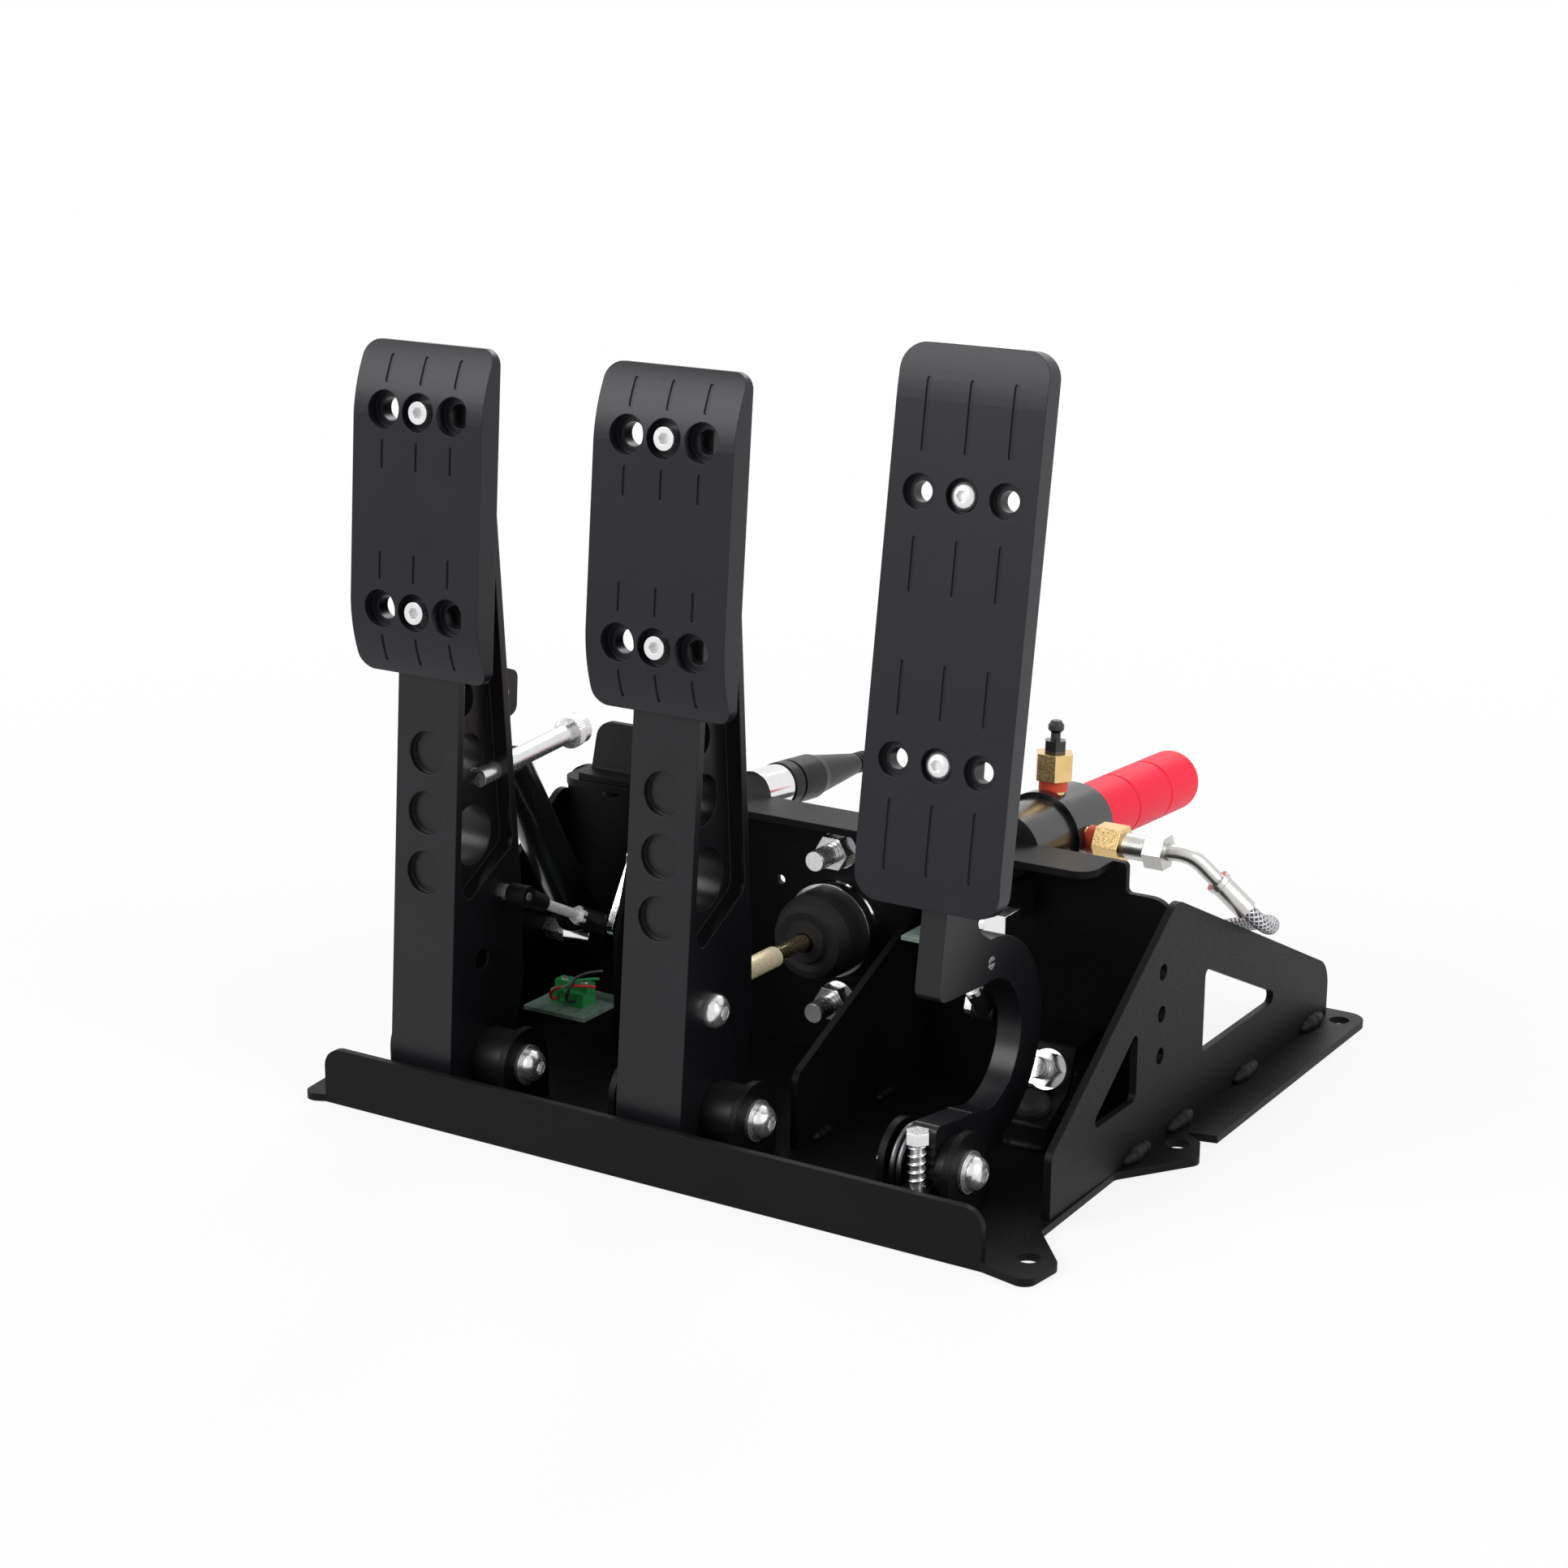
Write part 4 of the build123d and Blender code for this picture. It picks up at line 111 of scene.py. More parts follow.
def seen_directly(tree_nodes, links):
    """One where the camera, a reflection or glass looks, and zero where light is gathered."""
    path = tree_nodes.new("ShaderNodeLightPath")
    both = tree_nodes.new("ShaderNodeMath")
    both.operation = "MAXIMUM"
    links.new(path.outputs["Is Camera Ray"], both.inputs[0])
    links.new(path.outputs["Is Glossy Ray"], both.inputs[1])
    every = tree_nodes.new("ShaderNodeMath")
    every.operation = "MAXIMUM"
    links.new(both.outputs[0], every.inputs[0])
    links.new(path.outputs["Is Transmission Ray"], every.inputs[1])
    return every.outputs[0]


white_floor, floor_nodes, floor_links = new_material("white_floor")
floor_shader = floor_nodes["Principled BSDF"]
floor_shader.inputs["Base Color"].default_value = (0.92, 0.92, 0.92, 1)
floor_shader.inputs["Roughness"].default_value = 0.9
floor_shader.inputs["Specular IOR Level"].default_value = 0.0
glow = floor_nodes.new("ShaderNodeEmission")
glow.inputs["Color"].default_value = (1, 1, 1, 1)
glow.inputs["Strength"].default_value = 1.0
floor_place = floor_nodes.new("ShaderNodeTexCoord")
distance = floor_nodes.new("ShaderNodeVectorMath")
distance.operation = "LENGTH"
floor_links.new(floor_place.outputs["Object"], distance.inputs[0])
rising = floor_nodes.new("ShaderNodeMapRange")
rising.inputs["From Min"].default_value = 0.25
rising.inputs["From Max"].default_value = 0.80
rising.inputs["To Min"].default_value = 0.84
rising.inputs["To Max"].default_value = 1.0
floor_links.new(distance.outputs["Value"], rising.inputs["Value"])
share = floor_nodes.new("ShaderNodeMath")
share.operation = "MULTIPLY"
floor_links.new(seen_directly(floor_nodes, floor_links), share.inputs[0])
floor_links.new(rising.outputs[0], share.inputs[1])
blend = floor_nodes.new("ShaderNodeMixShader")
floor_links.new(share.outputs[0], blend.inputs[0])
floor_links.new(floor_shader.outputs[0], blend.inputs[1])
floor_links.new(glow.outputs[0], blend.inputs[2])
floor_links.new(blend.outputs[0], floor_nodes["Material Output"].inputs["Surface"])


def mesh_piece(name, bm, material, smooth=True):
    """Turns a finished bmesh into an object at the origin."""
    bmesh.ops.recalc_face_normals(bm, faces=bm.faces[:])
    mesh = bpy.data.meshes.new(name)
    bm.to_mesh(mesh)
    bm.free()
    for face in mesh.polygons:
        face.use_smooth = smooth
    mesh.materials.append(material)
    made = bpy.data.objects.new(name, mesh)
    bpy.context.scene.collection.objects.link(made)
    return made


bm = bmesh.new()
bmesh.ops.create_grid(bm, x_segments=4, y_segments=4, size=14.0)
bmesh.ops.translate(bm, verts=bm.verts[:], vec=(0, 0, -0.0004))
floor = mesh_piece("floor", bm, white_floor)

world = bpy.data.worlds.new("white_room")
bpy.context.scene.world = world
world.use_nodes = True
world_nodes, world_links = world.node_tree.nodes, world.node_tree.links
seen_white = world_nodes.new("ShaderNodeBackground")
seen_white.inputs["Color"].default_value = (1, 1, 1, 1)
gathered = world_nodes["Background"]
gathered.inputs["Color"].default_value = (0.30, 0.31, 0.32, 1)
choose = world_nodes.new("ShaderNodeMixShader")
world_links.new(seen_directly(world_nodes, world_links), choose.inputs[0])
world_links.new(gathered.outputs[0], choose.inputs[1])
world_links.new(seen_white.outputs[0], choose.inputs[2])
world_links.new(choose.outputs[0], world_nodes["World Output"].inputs["Surface"])
bpy.context.scene.view_settings.view_transform = "Standard"
print("floor and backdrop made")

# %% [markdown]
# ## Soft lamps
# Large lamps close by give the long, soft highlights that the arms and pads show. One is
# wide and in front on the left, one on the right lights the base's outer side, and a weak
# one behind draws the edges.

# %% Lamps
def soft_lamp(name, place, size, power):
    data = bpy.data.lights.new(name, "AREA")
    data.shape = "RECTANGLE"
    data.size, data.size_y = size
    data.energy = power
    lamp = bpy.data.objects.new(name, data)
    bpy.context.scene.collection.objects.link(lamp)
    faced = (Vector((0, 0, 0.12)) - Vector(place)).to_track_quat("-Z", "Y")
    lamp.matrix_world = Matrix.Translation(place) @ faced.to_matrix().to_4x4()
    return lamp


soft_lamp("front_lamp", (-1.1, -2.0, 1.5), (1.8, 1.4), 44.0)
soft_lamp("right_lamp", (2.3, -0.3, 1.3), (1.2, 1.6), 34.0)
soft_lamp("back_lamp", (-0.5, 1.9, 1.8), (1.6, 0.8), 24.0)

# %% [markdown]
# ## Finishes from noise
# Powder coat, satin paint, steel and rubber differ in three things: how their tone varies,
# how rough they are, and how fine their grain is. One helper sets all three from noise on
# Object coordinates, so the grain stays put when a pedal moves. A Bevel node rounds the
# shading of sharp edges, which catches the thin bright lines seen along real folded sheet.

# %% A helper for grained finishes
def grained(name, dark, light, grain, height, rough, metallic=0.0, specular=0.5, edge=0.0,
            broad=40.0):
    """A finish of two tones; grain is cells per metre and height the grain's depth."""
    made, tree_nodes, links = new_material(name)
    shader = tree_nodes["Principled BSDF"]
    shader.inputs["Metallic"].default_value = metallic
    shader.inputs["Specular IOR Level"].default_value = specular
    place = tree_nodes.new("ShaderNodeTexCoord")
    patches = tree_nodes.new("ShaderNodeTexNoise")
    patches.inputs["Scale"].default_value = broad
    patches.inputs["Detail"].default_value = 5.0
    links.new(place.outputs["Object"], patches.inputs["Vector"])
    tone = tree_nodes.new("ShaderNodeMix")
    tone.data_type = "RGBA"
    tone.inputs[6].default_value = (*dark, 1)
    tone.inputs[7].default_value = (*light, 1)
    links.new(patches.outputs[0], tone.inputs[0])
    links.new(tone.outputs[2], shader.inputs["Base Color"])
    fine = tree_nodes.new("ShaderNodeTexNoise")
    fine.inputs["Scale"].default_value = grain
    fine.inputs["Detail"].default_value = 3.0
    links.new(place.outputs["Object"], fine.inputs["Vector"])
    spread = tree_nodes.new("ShaderNodeMapRange")
    spread.inputs["From Min"].default_value = 0.3
    spread.inputs["From Max"].default_value = 0.7
    spread.inputs["To Min"].default_value = rough[0]
    spread.inputs["To Max"].default_value = rough[1]
    links.new(fine.outputs[0], spread.inputs["Value"])
    links.new(spread.outputs[0], shader.inputs["Roughness"])
    bump = tree_nodes.new("ShaderNodeBump")
    bump.inputs["Strength"].default_value = 0.6
    bump.inputs["Distance"].default_value = height
    links.new(fine.outputs[0], bump.inputs["Height"])
    if edge:
        rounded = tree_nodes.new("ShaderNodeBevel")
        rounded.samples = 4
        rounded.inputs["Radius"].default_value = edge
        links.new(rounded.outputs[0], bump.inputs["Normal"])
    links.new(bump.outputs[0], shader.inputs["Normal"])
    return made


# %% [markdown]
# The sheet parts carry a fine textured powder coat, while the machined arms and pads have
# a smoother satin black that shines along its edges. The strut and the rear cylinder are
# painted in a deep gloss.

# %% Black finishes
black = {
    "powder": grained("powder_black", (0.0022, 0.0022, 0.0025), (0.0046, 0.0046, 0.0050),
                      1500.0, 0.00018, (0.38, 0.54), specular=0.11, edge=0.0006),
    "satin": grained("satin_black", (0.0036, 0.0037, 0.0048), (0.0074, 0.0076, 0.0096),
                     2400.0, 0.00003, (0.27, 0.37), specular=0.30, edge=0.0006),
    "gloss": grained("black_gloss", (0.004, 0.004, 0.005), (0.008, 0.008, 0.009),
                     900.0, 0.00001, (0.20, 0.28), specular=0.5, edge=0.0004),
    "plastic": grained("black_plastic", (0.0060, 0.0060, 0.0062), (0.011, 0.011, 0.012),
                       1800.0, 0.00004, (0.30, 0.42), specular=0.18, edge=0.0004),
    "rubber": grained("black_rubber", (0.0085, 0.0085, 0.0090), (0.015, 0.015, 0.016),
                      1300.0, 0.00005, (0.58, 0.72), specular=0.28, edge=0.0005),
}
gloss_shader = black["gloss"].node_tree.nodes["Principled BSDF"]
gloss_shader.inputs["Coat Weight"].default_value = 0.25
gloss_shader.inputs["Coat Roughness"].default_value = 0.12
print("black finishes", list(black))

# %% [markdown]
# Bare metal needs no paint: its tone is its reflection. Bolts are bright zinc with a soft
# haze, the ball ends and the rod are polished, the coil spring is dark oiled wire, the
# pushrod has yellow zinc with warm patches, and the fittings are brass. Small threads and
# rods that stand among black walls would only mirror the black, so they get lighter, less
# metallic copies of the steel and the gold: a painted highlight in place of the lamps'
# light that the fine ridges of the real threads catch.

# %% Metal finishes
metal = {
    "bright": grained("bright_steel", (0.68, 0.68, 0.68), (0.84, 0.84, 0.85), 1400.0, 0.000004,
                      (0.20, 0.30), metallic=0.88, edge=0.0003, broad=160.0),
    "polished": grained("polished_steel", (0.74, 0.74, 0.75), (0.88, 0.88, 0.89), 900.0, 0.000003,
                        (0.08, 0.15), metallic=1.0, edge=0.0003, broad=120.0),
    "tube": grained("tube_steel", (0.52, 0.51, 0.49), (0.68, 0.67, 0.65), 1200.0, 0.000008,
                    (0.27, 0.38), metallic=1.0, edge=0.0003, broad=120.0),
    "spring": grained("spring_steel", (0.10, 0.10, 0.11), (0.20, 0.20, 0.21), 1600.0, 0.00003,
                      (0.26, 0.38), metallic=1.0, broad=200.0),
    "cast": grained("cast_iron", (0.016, 0.016, 0.017), (0.045, 0.045, 0.046), 700.0, 0.00030,
                    (0.45, 0.62), metallic=0.25, edge=0.0008, broad=90.0),
    "gold": grained("gold_zinc", (0.78, 0.56, 0.24), (0.96, 0.86, 0.60), 1500.0, 0.000006,
                    (0.20, 0.32), metallic=1.0, edge=0.0003, broad=110.0),
    # painted highlight: a lighter, less metallic copy of the bright steel for small threads and
    # rods
    "painted_highlight_steel": grained("painted_highlight_steel", (0.80, 0.80, 0.80), (0.94, 0.94, 0.94), 1400.0, 0.000004,
                         (0.22, 0.32), metallic=0.35, edge=0.0003, broad=160.0),
    # painted highlight: a lighter, less metallic copy of the gold zinc for the pushrod's thread
    "painted_highlight_gold": grained("painted_highlight_gold", (0.98, 0.80, 0.46), (1.00, 0.93, 0.72), 1500.0, 0.000006,
                        (0.24, 0.36), metallic=0.25, edge=0.0002, broad=110.0),
    "brass": grained("brass", (0.68, 0.44, 0.17), (0.86, 0.64, 0.32), 1400.0, 0.000006,
                     (0.18, 0.28), metallic=1.0, edge=0.0003, broad=140.0),
}
print("metal finishes", list(metal))

# %% [markdown]
# The rubber springs of the brake are the one strong colour: a warm red that glows a little
# because light enters it. Subsurface light gives that, at a depth of a few millimetres.
# The thread seals are the same red, in a duller, drier form.

# %% Coloured finishes
red_rubber = grained("red_rubber", (0.97, 0.010, 0.045), (1.00, 0.018, 0.060), 1100.0, 0.00003,
                     (0.42, 0.52), specular=0.22, edge=0.0008, broad=70.0)
red_shader = red_rubber.node_tree.nodes["Principled BSDF"]
red_shader.inputs["Subsurface Weight"].default_value = 0.08
red_shader.inputs["Subsurface Radius"].default_value = (0.006, 0.001, 0.002)
red_shader.inputs["Subsurface Scale"].default_value = 1.0
seal_red = grained("seal_red", (0.62, 0.05, 0.02), (0.80, 0.10, 0.04), 2200.0, 0.00008,
                   (0.45, 0.60), specular=0.4, broad=300.0)
print("coloured finishes made")

# %% [markdown]
# The circuit boards and the terminal block are one node of the model, so one material
# serves both: below the board's top it shows pale lacquered board, and above it the bright
# green moulded block. The height is read from Object coordinates, which for these pieces
# are the frame's own.

# %% Board and terminal block
board_green, tree_nodes, links = new_material("green_board")
shader = tree_nodes["Principled BSDF"]
shader.inputs["Specular IOR Level"].default_value = 0.5
place = tree_nodes.new("ShaderNodeTexCoord")
split = tree_nodes.new("ShaderNodeSeparateXYZ")
links.new(place.outputs["Object"], split.inputs[0])
raised = tree_nodes.new("ShaderNodeMath")
raised.operation = "GREATER_THAN"
raised.inputs[1].default_value = 0.0258
links.new(split.outputs["Z"], raised.inputs[0])
low_part = tree_nodes.new("ShaderNodeMath")
low_part.operation = "LESS_THAN"
low_part.inputs[1].default_value = 0.0500
links.new(split.outputs["Z"], low_part.inputs[0])
is_block = tree_nodes.new("ShaderNodeMath")
is_block.operation = "MULTIPLY"
links.new(raised.outputs[0], is_block.inputs[0])
links.new(low_part.outputs[0], is_block.inputs[1])
tracks = tree_nodes.new("ShaderNodeTexVoronoi")
tracks.distance = "MANHATTAN"
tracks.inputs["Scale"].default_value = 260.0
links.new(place.outputs["Object"], tracks.inputs["Vector"])
lacquer = tree_nodes.new("ShaderNodeMix")
lacquer.data_type = "RGBA"
lacquer.inputs[6].default_value = (0.10, 0.19, 0.15, 1)
lacquer.inputs[7].default_value = (0.22, 0.30, 0.25, 1)
links.new(tracks.outputs["Distance"], lacquer.inputs[0])
both = tree_nodes.new("ShaderNodeMix")
both.data_type = "RGBA"
both.inputs[7].default_value = (0.030, 0.300, 0.080, 1)
links.new(is_block.outputs[0], both.inputs[0])
links.new(lacquer.outputs[2], both.inputs[6])
links.new(both.outputs[2], shader.inputs["Base Color"])
mould = tree_nodes.new("ShaderNodeTexNoise")
mould.inputs["Scale"].default_value = 1500.0
links.new(place.outputs["Object"], mould.inputs["Vector"])
haze = tree_nodes.new("ShaderNodeMapRange")
haze.inputs["To Min"].default_value = 0.28
haze.inputs["To Max"].default_value = 0.5
links.new(mould.outputs[0], haze.inputs["Value"])
links.new(haze.outputs[0], shader.inputs["Roughness"])
print("board finish made")

# %% [markdown]
# The pads are anodised rather than painted, so they are a shade bluer than the arms.

# %% Pad finish
pad_black = grained("pad_black", (0.0036, 0.0040, 0.0066), (0.0078, 0.0084, 0.0128),
                    2600.0, 0.00003, (0.28, 0.38), specular=0.27, edge=0.0005)
print("pad finish made")

# %% [markdown]
# ## Giving each node its finish
# A node of the model keeps its mesh, and only its material slots change.

# %% Assign the finishes
finishes = {
    black["powder"]: "base_plate side_plate_left side_plate_right centre_gusset bulkhead "
                     "pivot_ears throttle_stop_bracket clutch_stop_bracket sensor_brackets",
    black["satin"]: "clutch_arm brake_arm throttle_arm clutch_lug",
    black["gloss"]: "strut_cylinder slave_cylinder slave_rings bleed_nipple",
    black["plastic"]: "pivot_bushes clutch_link throttle_link rotary_sensors sensor_plug",
    black["rubber"]: "boot throttle_bumper brake_hose sensor_wires",
    metal["bright"]: "pivot_bolts washers long_studs stud_nuts pivot_nuts clutch_stop_screw "
                     "pushrod_pin idle_stop_bolt clutch_pad_screws brake_pad_screws "
                     "throttle_pad_screws strut_stud clutch_studs throttle_pin",
    metal["tube"]: "hose_end",
    metal["polished"]: "idle_stop_spring throttle_lever clutch_lever strut_rod strut_end_low "
                       "strut_end_high pressure_sensor boot_ring",
    metal["spring"]: "throttle_return_spring",
    metal["cast"]: "master_cylinder brake_piston",
    metal["gold"]: "pushrod",
    metal["brass"]: "brass_adapters",
    red_rubber: "elastomers",
    seal_red: "thread_seals",
    board_green: "sensor_boards",
    pad_black: "clutch_pad brake_pad throttle_pad",
}
dressed = {}
for material, names in finishes.items():
    for name in names.split():
        dressed[name] = material
for name, piece in nodes.items():
    piece.data.materials.clear()
    piece.data.materials.append(dressed[name])
print("dressed", len(dressed), "of", len(nodes))

# %% [markdown]
# ## Grooves on the pads
# Each pad has slots milled into its face in three columns. The two middle rows are cut in
# the solid. The end rows run over the curved ends, where a slot has to follow the surface.
# A ray sent at the pad from the front finds the surface at each step, a cutter is built
# along those places, and a boolean takes it out of a copy of the pad. The copy then stands
# for the pad. A bump in the finish would look alike from the front, but not in the mesh.
# Smooth shading over a flat face would show every triangle of the cut, so the flat face and
# each sharp corner are fenced by sharp edges, and only the curved ends shade smoothly.

# %% Cut the end grooves
groove_depth = 0.0006


def cut_pad(name, body, middle, tilt_degrees, column, row, half_row):
    """Replaces a pad by a copy of it with its end rows of grooves cut in."""
    t = radians(tilt_degrees)
    along, out = Vector((0, sin(t), cos(t))), Vector((0, -cos(t), sin(t)))
    bm = bmesh.new()
    bm.from_mesh(nodes[name].data)
    bmesh.ops.remove_doubles(bm, verts=bm.verts[:], dist=0.000002)
    open_edges = sum(not edge.is_manifold for edge in bm.edges)
    surface = BVHTree.FromBMesh(bm)
    grooved = mesh_piece(name + "_grooved", bm, pad_black)
    straight = half_row - 0.0007
    steps = [-half_row, -half_row + 0.0002] + [straight * (k / 5 - 1) for k in range(11)]
    steps += [half_row - 0.0002, half_row]
    halves = [0.0003, 0.0005] + [0.0007] * 11 + [0.0005, 0.0003]
    corners = ((-1, 0.001), (1, 0.001), (1, -groove_depth), (-1, -groove_depth))
    bm = bmesh.new()
    for x in (-column, 0.0, column):
        for side in (-1, 1):
            rings = []
            for step, half in zip(steps, halves):
                spot = middle + Vector((x, 0, 0)) + along * (side * row + step)
                met = surface.ray_cast(spot + out * 0.04, -out)[0]
                rings.append([bm.verts.new(met + Vector((across * half, 0, 0)) + out * rise)
                              for across, rise in corners])
            for ring, following in zip(rings, rings[1:]):
                for k in range(4):
                    bm.faces.new((ring[k], ring[(k + 1) % 4], following[(k + 1) % 4], following[k]))
            bm.faces.new(rings[0])
            bm.faces.new(rings[-1])
    cutter = mesh_piece(name + "_cutter", bm, pad_black, smooth=False)
    cut = grooved.modifiers.new("cut", "BOOLEAN")
    cut.operation, cut.object, cut.solver = "DIFFERENCE", cutter, "EXACT"
    bpy.context.view_layer.update()
    depsgraph = bpy.context.evaluated_depsgraph_get()
    result = bpy.data.meshes.new_from_object(grooved.evaluated_get(depsgraph))
    grooved.modifiers.clear()
    before = len(grooved.data.vertices)
    grooved.data = result
    bpy.data.objects.remove(cutter)
    result.materials.clear()
    result.materials.append(pad_black)
    if "custom_normal" in result.attributes:
        result.attributes.remove(result.attributes["custom_normal"])
    bm = bmesh.new()
    bm.from_mesh(result)
    for face in bm.faces:
        face.smooth = True
    for edge in bm.edges:
        flat = [face.normal.dot(out) > 0.99999 for face in edge.link_faces]
        gentle = edge.calc_face_angle(0) < radians(20)
        edge.smooth = len(flat) == 2 and flat[0] == flat[1] and gentle
    bm.to_mesh(result)
    bm.free()
    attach(grooved, body)
    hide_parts(name)
    print(grooved.name, "points", before, "then", len(result.vertices), "open edges", open_edges)


pad_height = 0.216
for pedal, x, tilt_degrees in (("clutch", clutch_x, clutch_tilt), ("brake", brake_x, brake_tilt)):
    middle = arm_place(tilt_degrees, x, pad_height, 0)
    cut_pad(pedal + "_pad", pedal, middle, tilt_degrees, 0.016, 0.05274, 0.00524)
long_tilt = radians(throttle_tilt)
long_low = Vector((throttle_x, 0.0285 - lip_to_origin + 0.002 * sin(long_tilt), 0.119))
long_middle = long_low + Vector((0, sin(long_tilt), cos(long_tilt))) * 0.098
cut_pad("throttle_pad", "throttle", long_middle, throttle_tilt, 0.017, 0.0735, 0.01274)

# %% [markdown]
# ## Screw threads
# A thread is one V-shaped ridge that climbs as it turns. Spinning a V with a small step
# along the axis makes exactly that. Rings stacked in a row would be quicker, but their
# highlights stay level where a real thread's highlights slope.

# %% A helper that points a mesh along an axis, and one that cuts threads
def aim(start, way):
    """A matrix that takes the Z axis to way and the origin to start."""
    turn_to = Vector(way).to_track_quat("Z", "Y").to_matrix().to_4x4()
    return Matrix.Translation(start) @ turn_to


def thread(name, start, way, length, radius, pitch, material, body):
    """A thread ridge of one pitch spun up along a rod of the given radius."""
    turns = max(1, round(length / pitch) - 1)
    bm = bmesh.new()
    low, high = radius - 0.00004, radius + 0.20 * pitch
    points = [(low, 0, 0), (high, 0, pitch * 0.42), (high, 0, pitch * 0.58), (low, 0, pitch)]
    verts = [bm.verts.new(p) for p in points]
    edges = [bm.edges.new(pair) for pair in zip(verts, verts[1:])]
    steps = 28 * turns
    bmesh.ops.spin(bm, geom=verts + edges, cent=(0, 0, 0), axis=(0, 0, 1), angle=2 * pi * turns,
                   dvec=(0, 0, pitch * turns / steps), steps=steps, use_duplicate=False)
    bmesh.ops.remove_doubles(bm, verts=bm.verts[:], dist=0.00001)
    bmesh.ops.transform(bm, matrix=aim(start, way), verts=bm.verts[:])
    made = mesh_piece(name, bm, material)
    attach(made, body)
    print(name, "turns", turns, "faces", len(made.data.polygons))
    return made


# %% [markdown]
# The threads that show are on the master cylinder's two studs, the throttle's stop stud,
# the clutch's stop screw, the pushrod and the nut of the brake tube.

# %% Threads in view
along_y = Vector((0, 1, 0))
m8_radius, m8_pitch = 0.004, 0.00125
for side, rise in (("low", -0.032), ("high", 0.032)):
    thread("master_stud_thread_" + side, (brake_x, -0.0275, cylinder_z + rise), along_y, 0.0118,
           m8_radius, m8_pitch, metal["bright"], "frame")
stop_way = Vector((0, cos(radians(23)), -sin(radians(23))))
thread("stop_stud_thread", Vector((throttle_x, -0.0455, 0.033)), stop_way, 0.0050,
       m8_radius, m8_pitch, metal["bright"], "frame")

edge_angle = 0.149624 - radians(clutch_tilt)
screw_way = Vector((0, cos(edge_angle), sin(edge_angle)))
seat = arm_place(clutch_tilt, -0.104, 0.1135, 0.0359899)
thread("stop_screw_thread", seat + screw_way * 0.0005, screw_way, 0.0090,
       m8_radius, m8_pitch, metal["bright"], "clutch")
pin_place = arm_place(brake_tilt, brake_x, 0.0406, 0.0185)
rod_way = (Vector((brake_x, 0.0015, cylinder_z)) - pin_place).normalized()
rod_from = pin_place + rod_way * ((0.0990 - lip_to_origin - pin_place.y) / rod_way.y)
# the pushrod's thread takes the gold copy with a painted highlight
thread("pushrod_thread", rod_from + rod_way * -0.0345, rod_way, 0.0340,
       m8_radius, m8_pitch, metal["painted_highlight_gold"], "brake_pushrod")
thread("tube_nut_thread", (0.1006, 0.0375, 0.0985), (1, 0, 0), 0.0098, 0.005, 0.001,
       metal["tube"], "frame")

# %% [markdown]
# ## Knurled head
# The stop screw is turned by hand, so its head has fine ridges round the rim. A ring of
# points pulled in and out in turn, raised into a wall, gives them at the right count. They
# end where the head passes over its bracket's foot, so that nothing touches at full travel.

# %% Knurl on the clutch's stop screw
def knurl(name, start, way, length, radius, ridges, material, body):
    bm = bmesh.new()
    made = bmesh.ops.create_circle(bm, segments=ridges * 2, radius=radius)
    for index, vert in enumerate(made["verts"]):
        if index % 2:
            vert.co *= 1 + 0.00032 / radius
    edges = [edge for edge in bm.edges]
    raised = bmesh.ops.extrude_edge_only(bm, edges=edges)
    moved = [item for item in raised["geom"] if isinstance(item, bmesh.types.BMVert)]
    bmesh.ops.translate(bm, verts=moved, vec=(0, 0, length))
    for rim, inner in ((0.0, radius * 0.9), (length, radius * 0.9)):
        ring = [v for v in bm.verts if abs(v.co.z - rim) < 1e-7 and v.co.xy.length > radius * 0.95]
        border = [e for e in bm.edges if all(v in ring for v in e.verts)]
        lip = bmesh.ops.extrude_edge_only(bm, edges=border)
        for item in lip["geom"]:
            if isinstance(item, bmesh.types.BMVert):
                item.co.xy = item.co.xy.normalized() * inner
    bmesh.ops.transform(bm, matrix=aim(start, way), verts=bm.verts[:])
    made = mesh_piece(name, bm, material, smooth=False)
    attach(made, body)
    print(name, "ridges", ridges)
    return made


knurl("stop_screw_knurl", seat + screw_way * 0.0459, screw_way, 0.0038, 0.0065, 44,
      metal["bright"], "clutch")

# %% [markdown]
# ## Rods of the sensor links
# Each link is a bright threaded rod with a lock nut between two black ball cups. The solid
# has rod and cups in one, so a thin bright sleeve over the rod and one over the nut give
# the steel its own finish, the lighter steel copy with a painted highlight. A circle pulled
# out along the axis is all that they need.

# %% Sleeves on the links
def sleeve(bm, start, way, length, radius, sides):
    """A closed bar of the given number of sides from start along way."""
    made = bmesh.ops.create_circle(bm, cap_ends=True, segments=sides, radius=radius)
    ring = made["verts"]
    face = [f for f in bm.faces if all(v in ring for v in f.verts)]
    raised = bmesh.ops.extrude_face_region(bm, geom=face)
    lifted = [v for v in raised["geom"] if isinstance(v, bmesh.types.BMVert)]
    bmesh.ops.translate(bm, verts=lifted, vec=(0, 0, length))
    bmesh.ops.transform(bm, matrix=aim(start, way), verts=ring + lifted)


cup_length = 0.016
for side, x, front, rear in (("clutch", clutch_link_x, (0.047, 0.084), (0.101, 0.057)),
                             ("throttle", throttle_link_x, (0.0631, 0.0892), (0.0945, 0.058))):
    start = Vector((x, front[0] - lip_to_origin, front[1]))
    end = Vector((x, rear[0] - lip_to_origin, rear[1]))
    way = (end - start).normalized()
    bare = (end - start).length - 2 * cup_length
    bm = bmesh.new()
    sleeve(bm, start + way * (cup_length + 0.0001), way, bare - 0.0002, 0.00212, 24)
    sleeve(bm, end - way * (cup_length + 0.0026), way, 0.0025, 0.0039, 6)
    # the rod and nut sleeves take the steel copy with a painted highlight
    made = mesh_piece(side + "_link_rod", bm, metal["painted_highlight_steel"], smooth=False)
    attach(made, side + "_sensor_link")
    print(made.name, "bare length", round(bare, 4))


# %% [markdown]
# ## Wire formed from a line
# Springs, leads and the hose are all wire bent along a line. A curve object with a round
# bevel is the plain way to make them, and a smooth spline keeps the bends free of kinks.

